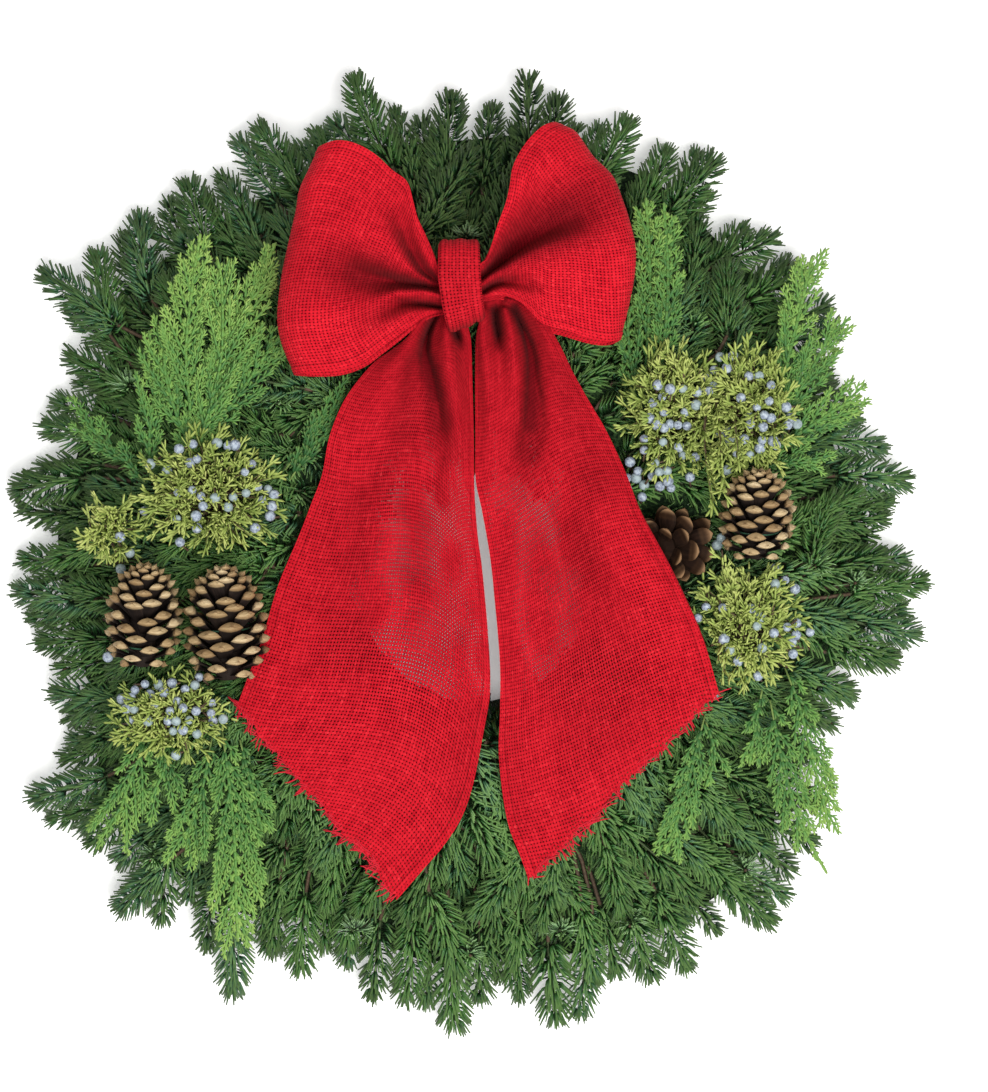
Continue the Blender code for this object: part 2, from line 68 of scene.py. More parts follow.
def P(a, b, z):
    """The point at height z that shows at (a, b) in the 988 by 1092 view."""
    a, b, z = np.asarray(a, float), np.asarray(b, float), np.asarray(z, float)
    s = (EYE[2] - z) / (EYE[2] - PLANE_Z)
    return np.stack([EYE[0] + (a - 494.0) * MM_PER_STEP * s, EYE[1] - (b - 546.0) * MM_PER_STEP * s, z + 0 * a], -1)


cam_data = bpy.data.cameras.new("camera")
cam_data.sensor_fit = "VERTICAL"
cam_data.sensor_height = 36.0
cam_data.lens = 120.0
cam_data.clip_start = 0.05
cam_data.clip_end = 50.0
camera = bpy.data.objects.new("camera", cam_data)
bpy.context.scene.collection.objects.link(camera)
camera.location = tuple(EYE * 0.001 + SHIFT)
camera.rotation_euler = (0.0, 0.0, 0.0)
bpy.context.scene.camera = camera


# ------------------------------------------------------------------- materials
def nodes_of(name):
    mat = bpy.data.materials.new(name)
    mat.use_nodes = True
    nt = mat.node_tree
    return mat, nt, nt.nodes["Principled BSDF"]


class Graph:
    """Short names for the shader nodes used here."""

    def __init__(self, nt):
        self.nt = nt

    def new(self, kind, **props):
        n = self.nt.nodes.new(kind)
        for k, v in props.items():
            setattr(n, k, v)
        return n

    def put(self, value, socket):
        if isinstance(value, bpy.types.NodeSocket):
            self.nt.links.new(value, socket)
        else:
            socket.default_value = value

    def math(self, op, a, b=0.0, c=0.0, clamp=False):
        n = self.new("ShaderNodeMath", operation=op, use_clamp=clamp)
        self.put(a, n.inputs[0])
        self.put(b, n.inputs[1])
        if len(n.inputs) > 2:
            self.put(c, n.inputs[2])
        return n.outputs[0]

    def vec(self, x, y, z=0.0):
        n = self.new("ShaderNodeCombineXYZ")
        for v, s in zip((x, y, z), n.inputs):
            self.put(v, s)
        return n.outputs[0]

    def uv(self, name="OFBake"):
        n = self.new("ShaderNodeUVMap", uv_map=name)
        s = self.new("ShaderNodeSeparateXYZ")
        self.nt.links.new(n.outputs[0], s.inputs[0])
        return s.outputs[0], s.outputs[1]

    def position(self):
        return self.new("ShaderNodeTexCoord").outputs["Object"]

    def noise(self, vector, scale, detail=2.0, rough=0.5):
        n = self.new("ShaderNodeTexNoise")
        self.nt.links.new(vector, n.inputs["Vector"])
        n.inputs["Scale"].default_value = scale
        n.inputs["Detail"].default_value = detail
        n.inputs["Roughness"].default_value = rough
        return n.outputs["Fac"]

    def white(self, vector):
        n = self.new("ShaderNodeTexWhiteNoise", noise_dimensions="3D")
        self.nt.links.new(vector, n.inputs["Vector"])
        return n.outputs["Value"], n.outputs["Color"]

    def ramp(self, fac, stops, mode="LINEAR"):
        n = self.new("ShaderNodeValToRGB")
        n.color_ramp.interpolation = mode
        el = n.color_ramp.elements
        while len(el) > 1:
            el.remove(el[-1])
        el[0].position, el[0].color = stops[0][0], (*stops[0][1], 1.0)
        for pos, col in stops[1:]:
            e = el.new(pos)
            e.color = (*col, 1.0)
        self.nt.links.new(fac, n.inputs[0])
        return n.outputs[0]

    def mix(self, fac, a, b, blend="MIX"):
        n = self.new("ShaderNodeMix", data_type="RGBA", blend_type=blend)
        self.put(fac, n.inputs[0])
        for v, s in ((a, n.inputs[6]), (b, n.inputs[7])):
            if isinstance(v, bpy.types.NodeSocket):
                self.nt.links.new(v, s)
            else:
                s.default_value = (*v, 1.0)
        return n.outputs[2]

    def smooth(self, x, lo, hi, a=0.0, b=1.0):
        n = self.new("ShaderNodeMapRange", interpolation_type="SMOOTHSTEP")
        self.put(x, n.inputs[0])
        for k, v in enumerate((lo, hi, a, b)):
            n.inputs[k + 1].default_value = v
        return n.outputs[0]

    def bump(self, height, strength, distance, shader):
        n = self.new("ShaderNodeBump")
        n.inputs["Strength"].default_value = strength
        n.inputs["Distance"].default_value = distance
        self.nt.links.new(height, n.inputs["Height"])
        self.nt.links.new(n.outputs[0], shader.inputs["Normal"])


COLS, ROWS = 16, 4


def foliage(name, palette, tip, under, roughness=0.42, tip_share=0.35, band=0.6, painted_foot_shade=0.55, spread=0.16, gloss=0.35, painted_depth_shade=False):
    """Leaves in 64 shades, in order along the map: the column and row pick the shade, the rest of it
    runs along a leaf from its foot to its tip, and each column's second half is the underside."""
    mat, nt, sh = nodes_of(name)
    g = Graph(nt)
    u, v = g.uv()
    cu = g.math("MULTIPLY", u, float(COLS))
    rv = g.math("MULTIPLY", v, float(ROWS))
    col, row = g.math("FLOOR", cu), g.math("FLOOR", rv)
    fu, t = g.math("FRACT", cu), g.math("FRACT", rv)
    rnd, _ = g.white(g.vec(col, row, 0.37))
    order = g.math("ADD", g.math("DIVIDE", g.math("ADD", col, 0.5), float(COLS)), g.math("MULTIPLY", g.math("SUBTRACT", rnd, 0.5), spread))
    base = g.ramp(order, palette)
    light = g.mix(0.6, base, tip)
    base = g.mix(g.math("MULTIPLY", g.smooth(t, 0.40, 1.0), tip_share), base, light)
    # painted shade: the foot of each leaf darkens towards near-black, where the leaves crowd the twig
    foot = g.smooth(t, 0.0, 0.40, painted_foot_shade, 0.0)
    base = g.mix(foot, base, tuple(c * 0.30 for c in palette[0][1]))
    # painted shade: a faint dark line down the middle of the upper face stands for the shade in its groove
    mid = g.math("ABSOLUTE", g.math("SUBTRACT", g.math("MULTIPLY", fu, 2.0), 0.5))
    top = g.mix(g.smooth(mid, 0.0, 0.16, 0.30, 0.0), base, tuple(c * 0.5 for c in palette[0][1]))
    # two pale bands along the underside
    w = g.math("ABSOLUTE", g.math("SUBTRACT", g.math("ABSOLUTE", g.math("SUBTRACT", g.math("MULTIPLY", fu, 2.0), 1.5)), 0.24))
    low = g.mix(g.smooth(w, 0.05, 0.19, band, 0.06), base, under)
    out = g.mix(g.math("GREATER_THAN", fu, 0.5), top, low)
    if painted_depth_shade:
        # painted shade: needles that lie well under the top of the foliage are darkened towards near-black, where shade
        # falls on them
        xyz = g.new("ShaderNodeSeparateXYZ")
        nt.links.new(g.position(), xyz.inputs[0])
        x_, y_, z_ = xyz.outputs
        r_ = g.math("SQRT", g.math("ADD", g.math("MULTIPLY", x_, x_), g.math("MULTIPLY", y_, y_)))
        ref = g.smooth(r_, 0.150, 0.275, 0.050, 0.018)
        out = g.mix(g.smooth(g.math("SUBTRACT", z_, ref), -0.024, -0.002, 0.72, 0.0), out, (0.002, 0.008, 0.003))
    nt.links.new(out, sh.inputs["Base Color"])
    sh.inputs["Roughness"].default_value = roughness
    sh.inputs["Specular IOR Level"].default_value = gloss
    return mat


FIR_MAT = foliage(
    "fir_needles",
    [(0.0, (0.008, 0.030, 0.011)), (0.20, (0.022, 0.078, 0.026)), (0.42, (0.048, 0.150, 0.044)),
     (0.62, (0.092, 0.235, 0.056)), (0.78, (0.046, 0.145, 0.074)), (1.0, (0.110, 0.240, 0.150))],
    (0.38, 0.60, 0.20), (0.32, 0.46, 0.29), roughness=0.34, tip_share=1.0, painted_foot_shade=0.85, gloss=0.60, painted_depth_shade=True)


def bark(name, dark, light, scale=420.0):
    mat, nt, sh = nodes_of(name)
    g = Graph(nt)
    pos = g.position()
    n = g.noise(pos, scale, 4.0, 0.6)
    nt.links.new(g.ramp(n, [(0.30, dark), (0.55, tuple((a + b) / 2 for a, b in zip(dark, light))), (0.75, light)]),
                 sh.inputs["Base Color"])
    sh.inputs["Roughness"].default_value = 0.75
    g.bump(n, 0.5, 0.0006, sh)
    return mat


BARK = bark("twig_bark", (0.050, 0.028, 0.014), (0.165, 0.105, 0.060))
CUT_WOOD = bark("cut_wood", (0.45, 0.33, 0.19), (0.62, 0.48, 0.30), 900.0)


def deep_foliage():
    """Painted shade for the inside of the bunches: a near-black green with streaks like old needles and twigs."""
    mat, nt, sh = nodes_of("deep_foliage")
    g = Graph(nt)
    pos = g.position()
    n = g.noise(pos, 420.0, 3.0, 0.65)
    m = g.noise(pos, 60.0, 2.0, 0.5)
    both = g.math("ADD", g.math("MULTIPLY", n, 0.75), g.math("MULTIPLY", m, 0.25))
    nt.links.new(g.ramp(both, [(0.38, (0.004, 0.010, 0.005)), (0.50, (0.014, 0.034, 0.012)), (0.62, (0.045, 0.095, 0.030))]), sh.inputs["Base Color"])
    sh.inputs["Roughness"].default_value = 0.8
    sh.inputs["Specular IOR Level"].default_value = 0.1
    g.bump(n, 0.9, 0.0015, sh)
    return mat


SHADE_MASS_MAT = deep_foliage()


def painted_wire(name, colour, worn, metallic, roughness):
    mat, nt, sh = nodes_of(name)
    g = Graph(nt)
    pos = g.position()
    n = g.noise(pos, 260.0, 5.0, 0.65)
    wear = g.smooth(n, 0.60, 0.70)
    nt.links.new(g.mix(wear, colour, worn), sh.inputs["Base Color"])
    nt.links.new(g.smooth(n, 0.3, 0.75, roughness - 0.08, roughness + 0.2), sh.inputs["Roughness"])
    sh.inputs["Metallic"].default_value = metallic
    g.bump(n, 0.15, 0.0003, sh)
    return mat


RING_MAT = painted_wire("ring_wire_paint", (0.018, 0.060, 0.030), (0.16, 0.13, 0.10), 0.0, 0.38)
TIE_MAT = painted_wire("florist_wire", (0.05, 0.15, 0.085), (0.35, 0.34, 0.32), 0.55, 0.35)


# ------------------------------------------------------------------ mesh making
class Soup:
    """Many small closed bodies that make up one piece."""

    def __init__(self):
        self.v, self.t, self.uv, self.m, self.n = [], [], [], [], 0

    def add(self, verts, tris, uv, mat=0):
        """verts (V,3), tris (T,3), uv (T,3,2)."""
        if len(tris) == 0:
            return
        self.v.append(np.asarray(verts, float))
        self.t.append(np.asarray(tris, np.int64) + self.n)
        self.uv.append(np.asarray(uv, float))
        self.m.append(np.full(len(tris), mat, np.int32))
        self.n += len(verts)

    def batch(self, verts, tris, uv, mat=0):
        """verts (B,V,3), one tris pattern (T,3), uv (B,T,3,2)."""
        b, k = verts.shape[:2]
        if b == 0:
            return
        t = tris[None] + (np.arange(b) * k)[:, None, None]
        self.add(verts.reshape(-1, 3), t.reshape(-1, 3), uv.reshape(-1, 3, 2), mat)

    def count(self):
        return sum(len(t) for t in self.t)

    def piece(self, name, mats, replaces=(), slot=None, smooth=True):
        v = np.concatenate(self.v) * 0.001 + SHIFT
        t = np.concatenate(self.t)
        uv = np.concatenate(self.uv)
        m = np.concatenate(self.m)
        mesh = bpy.data.meshes.new(name)
        mesh.vertices.add(len(v))
        mesh.vertices.foreach_set("co", v.astype(np.float32).ravel())
        mesh.loops.add(3 * len(t))
        mesh.loops.foreach_set("vertex_index", t.astype(np.int32).ravel())
        mesh.polygons.add(len(t))
        mesh.polygons.foreach_set("loop_start", np.arange(0, 3 * len(t), 3, dtype=np.int32))
        mesh.polygons.foreach_set("material_index", m)
        layer = mesh.uv_layers.new(name="OFBake")
        layer.data.foreach_set("uv", np.clip(uv, 0.0, 1.0).astype(np.float32).ravel())
        for mat in mats:
            mesh.materials.append(mat)
        mesh.update(calc_edges=True)
        mesh.validate()
        if smooth:
            mesh.shade_smooth()
            if smooth is not True:
                mesh.set_sharp_from_angle(angle=math.radians(smooth))
        else:
            mesh.shade_flat()
        obj = bpy.data.objects.new(name, mesh)
        bpy.context.scene.collection.objects.link(obj)
        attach(obj, "root")
        if replaces:
            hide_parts(*replaces)
        return obj


def unit(v):
    return v / np.maximum(np.linalg.norm(v, axis=-1, keepdims=True), 1e-9)


def smooth_line(points, per=8):
    """A Catmull-Rom curve through points."""
    p = np.asarray(points, float)
    if len(p) < 3:
        return p
    q = np.concatenate([[2 * p[0] - p[1]], p, [2 * p[-1] - p[-2]]])
    out = []
    for i in range(len(p) - 1):
        a, b, c, d = q[i:i + 4]
        t = np.linspace(0, 1, per, endpoint=False)[:, None]
        out.append(0.5 * (2 * b + (c - a) * t + (2 * a - 5 * b + 4 * c - d) * t ** 2 + (3 * b - a - 3 * c + d) * t ** 3))
    out.append(p[-1][None])
    return np.concatenate(out)


def at_share(points, s):
    """Points at shares s of a line's length."""
    p = np.asarray(points, float)
    cum = np.concatenate([[0], np.cumsum(np.linalg.norm(np.diff(p, axis=0), axis=1))])
    x = np.asarray(s, float) * cum[-1]
    return np.stack([np.interp(x, cum, p[:, k]) for k in range(p.shape[1])], -1)


def smoothstep(x, lo, hi):
    t = np.clip((np.asarray(x, float) - lo) / (hi - lo), 0, 1)
    return t * t * (3 - 2 * t)


def cell_uv(cls, row, along, across, under, count=None):
    """Places on the foliage map: cls and row pick the shade, along 0..1, across 0..1."""
    u = (cls + (0.5 if under else 0.0) + 0.04 + 0.42 * across) / COLS
    v = (row + 0.02 + 0.96 * along) / ROWS
    return u, v


def tubes(points, radii, sides=6, flat=1.0, up=None, closed_ends=True):
    """Round or flattened tubes along many lines at once. points (B,K,3), radii (B,K).
    Gives verts (B,V,3), tris pattern and the share along, share round of each corner."""
    pts = np.asarray(points, float)
    b, k, _ = pts.shape
    rad = np.broadcast_to(np.asarray(radii, float), (b, k))
    tan = np.empty_like(pts)
    tan[:, 1:-1] = pts[:, 2:] - pts[:, :-2]
    tan[:, 0] = pts[:, 1] - pts[:, 0]
    tan[:, -1] = pts[:, -1] - pts[:, -2]
    tan = unit(tan)
    ref = np.zeros((b, 1, 3)) + (np.array([0, 0, 1.0]) if up is None else np.asarray(up, float).reshape(-1, 1, 3))
    side = np.cross(tan, np.broadcast_to(ref, tan.shape))
    small = np.linalg.norm(side, axis=-1, keepdims=True) < 0.15
    alt = np.cross(tan, np.broadcast_to(np.array([0.3, 0.9, 0.1]), tan.shape))
    # keep one reference along a whole line, so that the tube doesn't twist
    anysmall = small.any(axis=1, keepdims=True)
    side = unit(np.where(anysmall, alt, side))
    nor = unit(np.cross(side, tan))
    phi = 2 * np.pi * np.arange(sides) / sides
    ring = (side[:, :, None] * np.cos(phi)[None, None, :, None] + nor[:, :, None] * (np.sin(phi) * flat)[None, None, :, None])
    verts = pts[:, :, None] + ring * rad[:, :, None, None]
    verts = verts.reshape(b, k * sides, 3)
    tris, su = [], []
    for i in range(k - 1):
        for j in range(sides):
            n = (j + 1) % sides
            a0, a1, b0, b1 = i * sides + j, i * sides + n, (i + 1) * sides + j, (i + 1) * sides + n
            s0, s1 = i / (k - 1), (i + 1) / (k - 1)
            r0, r1 = j / sides, (j + 1) / sides
            tris += [(a0, a1, b1), (a0, b1, b0)]
            su += [((s0, r0), (s0, r1), (s1, r1)), ((s0, r0), (s1, r1), (s1, r0))]
    if closed_ends:
        verts = np.concatenate([verts, pts[:, :1], pts[:, -1:]], axis=1)
        c0, c1 = k * sides, k * sides + 1
        for j in range(sides):
            n = (j + 1) % sides
            tris += [(c0, n, j), (c1, (k - 1) * sides + j, (k - 1) * sides + n)]
            su += [((0, 0.5), (0.02, (j + 1) / sides), (0.02, j / sides)), ((1, 0.5), (0.98, j / sides), (0.98, (j + 1) / sides))]
    tris, su = np.array(tris), np.array(su, float)
    # outward faces
    v0 = verts[0]
    vol = np.einsum("ij,ij->i", v0[tris[:, 0]], np.cross(v0[tris[:, 1]], v0[tris[:, 2]])).sum()
    if vol < 0:
        tris, su = tris[:, ::-1], su[:, ::-1]
    return verts, tris, su


def plain_uv(su, b):
    """A map for tubes whose colour comes from their place."""
    uv = np.stack([0.02 + 0.96 * su[..., 1], 0.02 + 0.96 * su[..., 0]], -1)
    return np.broadcast_to(uv, (b, *uv.shape))


# --------------------------------------------------------------------- the bow
CLOTH = {}          # name: (points grid (n,m,3), thickness grid, U metres, V metres)
T_CLOTH = 1.1       # mm


def fold(P2, line, amp, wl, wr=None):
    """Height of a ridge (or, below 0, a valley) that runs along a line, for the points P2 (...,2)."""
    line = smooth_line(line, 6)
    k = len(line)
    s = np.linspace(0, 1, k)
    amp = np.interp(s, np.linspace(0, 1, len(amp)), amp)
    wl = np.interp(s, np.linspace(0, 1, len(wl)), wl)
    wr = wl if wr is None else np.interp(s, np.linspace(0, 1, len(wr)), wr)
    best = np.full(P2.shape[:-1], 1e9)
    out = np.zeros(P2.shape[:-1])
    for i in range(k - 1):
        a, b = line[i], line[i + 1]
        d = b - a
        L2 = d @ d
        rel = P2 - a
        t = np.clip((rel @ d) / max(L2, 1e-9), 0, 1)
        near = rel - t[..., None] * d
        dist = np.linalg.norm(near, axis=-1)
        cross = d[0] * rel[..., 1] - d[1] * rel[..., 0]
        w = np.where(cross > 0, wl[i] + (wl[i + 1] - wl[i]) * t, wr[i] + (wr[i + 1] - wr[i]) * t)
        a_ = amp[i] + (amp[i + 1] - amp[i]) * t
        val = a_ * np.exp(-(dist / w) ** 2)
        take = dist < best
        best = np.where(take, dist, best)
        out = np.where(take, val, out)
    return out


def px(line):
    """A line given by its places in the view, at the height of the bow."""
    line = np.asarray(line, float)
    return P(line[:, 0], line[:, 1], 100.0 if line.shape[1] < 3 else line[:, 2])[:, :2]


def W(*places):
    """An edge given by its places in the view, at the bow's mean height."""
    return tuple(map(tuple, P([a for a, _ in places], [b for _, b in places], 108.0)[:, :2]))


LOOPS = {
    "bow_loop_left": dict(
        upper=W((452, 276), (439, 270), (434, 258), (425, 237), (417, 219), (413, 203), (407, 184), (393, 173), (376, 157), (356, 146), (338, 143), (319, 148)),
        lower=W((452, 312), (434, 313), (418, 321), (397, 337), (381, 349), (363, 362), (337, 371), (295, 374)),
        near=W((452, 276), (452, 312)),
        far=W((319, 148), (309, 170), (300, 190), (296, 213), (288, 248), (281, 284), (278, 320), (283, 346), (295, 374))),
    "bow_loop_right": dict(
        upper=W((470, 276), (484, 262), (488, 256), (498, 227), (506, 206), (510, 190), (514, 168), (526, 146), (541, 130), (556, 123)),
        lower=W((470, 300), (484, 298), (500, 295), (518, 301), (530, 311), (542, 324), (565, 331), (586, 338), (606, 342), (620, 339)),
        near=W((470, 276), (470, 300)),
        far=W((556, 123), (574, 131), (584, 144), (594, 158), (612, 176), (621, 197), (629, 221), (635, 248), (634, 274), (629, 302), (620, 339))),
}
LEFT_FOLDS = [
    # line in the view, heights, half widths to its left and right, as the line runs away from the knot
    # the narrow roll along the upper edge and the crease under it
    (((440, 284), (430, 277), (423, 271), (413, 256), (405, 237), (400, 218), (398, 200)), (-13, -17, -17, -13, -9, -5, -1), (2.5, 3, 3.5, 4, 5, 7, 9), (2.5, 3, 4, 5, 7, 9, 11)),
    (((440, 272), (430, 255), (420, 232), (411, 205), (400, 186)), (7, 8, 7, 5, 2), (4, 5, 7, 8, 9), None),
    # the big upper lobe
    (((441, 285), (415, 268), (385, 245), (350, 225), (325, 215)), (6, 10, 10, 7, 2), (3, 8, 16, 24, 28), None),
    # the deep hollow: steep under the upper lobe, gentle below
    (((441, 290), (425, 287), (408, 284), (392, 281), (376, 278), (355, 274), (337, 270), (318, 265)), (-11, -16, -20, -22, -20, -14, -8, -2), (3, 3.5, 6, 9, 13, 17, 20, 22), (2, 2.5, 2.5, 3, 4.5, 8, 12, 18)),
    # the thin ridge between the two creases by the knot
    (((441, 298), (421, 292), (400, 292), (380, 298)), (8, 9, 6, 1), (2.5, 3, 4, 7), None),
    # the lower crease
    (((441, 308), (430, 306), (418, 305), (402, 305), (388, 310), (374, 318)), (-13, -15, -15, -12, -6, -1), (2, 2.2, 2.5, 4, 7, 10), (2, 2.2, 2.5, 3.5, 6, 9)),
    (((441, 313), (418, 317), (390, 330), (350, 345)), (4, 6, 6, 2), (3, 5, 9, 14), None),
    (((330, 290), (318, 312), (300, 335)), (4, 6, 4), (18, 20, 18), None),
]
RIGHT_FOLDS = [
    # the ridge along the upper left edge
    (((481, 270), (490, 252), (502, 228), (516, 200), (532, 170), (548, 148)), (7, 9, 9, 8, 5, 1), (4, 6, 9, 11, 13, 15), (4, 6, 8, 10, 12, 14)),
    # the deep valley: gentle on its upper side, steep under the broad ridge
    (((482, 279), (492, 271), (502, 264), (515, 253), (530, 242), (548, 230), (568, 218), (590, 206), (610, 196)), (-12, -18, -23, -26, -26, -22, -15, -8, -2), (3, 5, 8, 12, 17, 20, 22, 24, 26), (2, 2.2, 2.6, 3.4, 4.6, 7, 11, 16, 22)),
    # the broad ridge below it
    (((482, 286), (497, 276), (513, 267), (528, 259), (547, 252), (580, 246)), (6, 8, 8, 6, 5, 1), (2.5, 3, 3.5, 5, 7, 12), (4, 6, 9, 12, 16, 20)),
    # the short crease from the knot
    (((483, 292), (491, 287), (502, 284), (514, 284), (530, 288), (545, 294)), (-14, -15, -12, -8, -4, -1), (2, 2.4, 3, 4, 6, 8), (2, 2.2, 2.6, 4, 6, 9)),
    (((484, 301), (505, 293), (530, 298), (560, 306), (595, 314)), (4, 6, 6, 4, 1), (2.5, 4, 7, 12, 16), None),
]


def coons(c, rho, v):
    """Points of the patch between four edges, at shares rho (n,) from near to far and v (m,) from upper to lower."""
    up, low = (at_share(smooth_line(c[k]), rho)[:, None] for k in ("upper", "lower"))
    near, far = (at_share(smooth_line(c[k]), v)[None] for k in ("near", "far"))
    r, w = rho[:, None, None], v[None, :, None]
    corner = (up[:1, :] * (1 - r) * (1 - w) + low[:1, :] * (1 - r) * w
              + at_share(smooth_line(c["far"]), [0.0])[None] * r * (1 - w) + at_share(smooth_line(c["far"]), [1.0])[None] * r * w)
    return up * (1 - w) + low * w + near * (1 - r) + far * r - corner


def lengths(grid, axis):
    d = np.linalg.norm(np.diff(grid, axis=axis), axis=-1)
    z = np.zeros_like(np.take(d, [0], axis=axis))
    return np.concatenate([z, np.cumsum(d, axis=axis)], axis=axis)


def even_threads(um, vm, v):
    """Takes the small wobble out of the yarns' paths, and keeps their broad bends."""
    fit = np.polynomial.polynomial.polyfit(v, um.T, 3)
    um = np.polynomial.polynomial.polyval(v, fit)
    um -= um.min()
    k = 7
    pad = np.concatenate([np.repeat(vm[:1], k, 0), vm, np.repeat(vm[-1:], k, 0)])
    w = np.hanning(2 * k + 3)[1:-1]
    vm = sum(w[i] * pad[i:i + len(vm)] for i in range(2 * k + 1)) / w.sum()
    return um, vm


def make_loop(name, folds, seed):
    """A hollow band: out from the knot in front, round the far end, and back behind."""
    c = LOOPS[name]
    m = 78
    v = np.linspace(0, 1, m)
    rho0 = 0.86
    front = np.linspace(0, rho0, 64, endpoint=False)
    psi = np.linspace(0, np.pi, 20)
    back = np.linspace(rho0, 0, 24)[1:]
    rho = np.concatenate([front, rho0 + (1 - rho0) * np.sin(psi), back])
    gap = np.concatenate([np.ones(len(front)), np.cos(psi), -np.ones(len(back))])
    is_front = np.concatenate([np.ones(len(front)), 0.5 + 0.5 * np.cos(psi), np.zeros(len(back))])[:, None]
    xy = coons(c, rho, v)
    # the back layer stands a little lower in the view than the front one
    down = (1 - is_front) * smoothstep(v, 0.55, 1.0)[None] * 2.6
    xy[..., 1] -= down * np.sin(np.pi * np.clip(rho, 0, 1))[:, None] ** 0.5
    zf = 113.0 + 12.0 * smoothstep(rho, 0.0, 0.45)
    zb = 95.0 - 5.0 * smoothstep(rho, 0.0, 0.45)
    z = ((zf + zb) / 2 + (zf - zb) / 2 * gap)[:, None] - (3.5 * np.abs(2 * v - 1) ** 4)[None] * is_front
    calm = smoothstep(1 - rho, 0.0, 0.20)[:, None]
    h = np.zeros_like(z)
    for line, amp, wl, wr in folds:
        h += fold(xy, px(line), amp, wl, wr)
    # small gathers beside the knot
    rng = np.random.default_rng(seed)
    near = np.exp(-(rho / 0.13) ** 2)[:, None]
    h += 1.3 * near * np.sin(2 * np.pi * 6.5 * v + rng.uniform(0, 6.28))[None]
    wob = np.zeros_like(z)
    for _ in range(7):
        k, ph, d = rng.uniform(0.008, 0.030), rng.uniform(0, 6.28), rng.uniform(0, 6.28)
        wob += 0.45 * np.sin(k * 2 * np.pi * (xy[..., 0] * np.cos(d) + xy[..., 1] * np.sin(d)) + ph)
    lift = (h + wob) * calm
    z = z + lift * is_front
    # where a valley runs deep, the back layer gives way
    k0 = len(front) + len(psi)
    for i in range(k0, len(rho)):
        f = np.interp(rho[i], rho[:len(front)], np.arange(len(front)))
        a, b = int(f), min(int(f) + 1, len(front) - 1)
        front_z = z[a] * (1 - f + a) + z[b] * (f - a)
        z[i] = np.minimum(z[i], front_z - 3.0)
    grid = np.concatenate([xy, z[..., None]], -1)
    across = lengths(grid, 1)
    vm = across / across[:, -1:] * 150.0
    um, vm = even_threads(lengths(grid, 0), vm, v)
    return grid, um, vm, v


def T(*places):
    """An edge of a tail given by its places in the view."""
    return tuple(map(tuple, P([a for a, _ in places], [b for _, b in places], 70.0)[:, :2]))


TAILS = {
    "bow_tail_left": dict(
        left=T((446, 298), (440, 307), (431, 314), (420, 325), (408, 340), (392, 352), (372, 366), (346, 398), (330, 435), (322, 475), (311, 504), (297, 541), (278, 586), (262, 640), (237, 707)),
        right=T((463, 298), (465, 312), (468, 328), (471, 345), (472, 394), (473, 440), (474, 487), (477, 530), (481, 562), (485, 600), (489, 650), (490, 691), (484, 730), (470, 796), (451, 836), (412, 882), (398, 898))),
    "bow_tail_right": dict(
        left=T((484, 298), (484, 310), (480, 326), (477, 343), (476, 395), (476, 443), (476, 480), (482, 510), (490, 555), (495, 598), (500, 658), (500, 710), (499, 760), (507, 820), (520, 855), (529, 880)),
        right=T((496, 298), (510, 300), (528, 306), (542, 320), (556, 342), (571, 370), (586, 396), (606, 430), (625, 472), (642, 517), (675, 580), (702, 637), (718, 690))),
}
LEFT_TAIL_FOLDS = [
    # the outer flap's rolled edge
    (((436, 312), (424, 322), (413, 337), (402, 353), (388, 374), (372, 400), (358, 430)), (8, 11, 12, 10, 7, 4, 1), (4, 5, 6, 9, 13, 18, 22), (3, 4, 5, 6, 9, 13, 18)),
    # the crack between the flap and the tube
    (((437, 314), (430, 326), (426, 338), (425, 353), (429, 369), (434, 394), (439, 422), (444, 450)), (-12, -20, -22, -22, -19, -15, -9, -2), (2, 2.2, 2.4, 2.8, 3.6, 4.5, 6, 9), (2, 2.2, 2.8, 4, 6, 9, 13, 18)),
    # the tube
    (((449, 320), (447, 338), (449, 360), (453, 394), (458, 430), (463, 470), (466, 510)), (7, 12, 13, 12, 9, 5, 1), (3, 5, 7, 8, 10, 12, 14), (4, 6, 8, 9, 10, 12, 14)),
    # the dark mouth under the knot
    (((453, 316), (454, 326), (457, 334), (461, 343)), (-18, -22, -18, -2), (2.0, 2.2, 2.2, 2.4), (2.4, 2.6, 2.4, 2.4)),
    # a second, softer crease beside the tube
    (((412, 362), (410, 390), (400, 430), (388, 470)), (-5, -7, -5, -1), (6, 8, 12, 16), (4, 6, 9, 12)),
    (((446, 463), (447, 490), (449, 515)), (2.5, 3, 0.5), (4, 5, 8), None),
    (((400, 470), (392, 530), (400, 600), (415, 680)), (2, 5, 5, 2), (16, 22, 26, 26), None),
    (((430, 500), (432, 570), (445, 640)), (-3, -4, -3), (14, 18, 20), None),
    (((340, 500), (335, 560), (340, 640)), (-3, -4, -2), (14, 18, 22), None),
    (((300, 600), (310, 680), (330, 760)), (2.5, 3, 2), (14, 18, 20), None),
    (((262, 690), (280, 720), (300, 750)), (2, 3, 2), (12, 16, 18), None),
    (((470, 640), (474, 720), (462, 800), (430, 860)), (-2, -3, -3, -2), (8, 10, 12, 12), None),
]
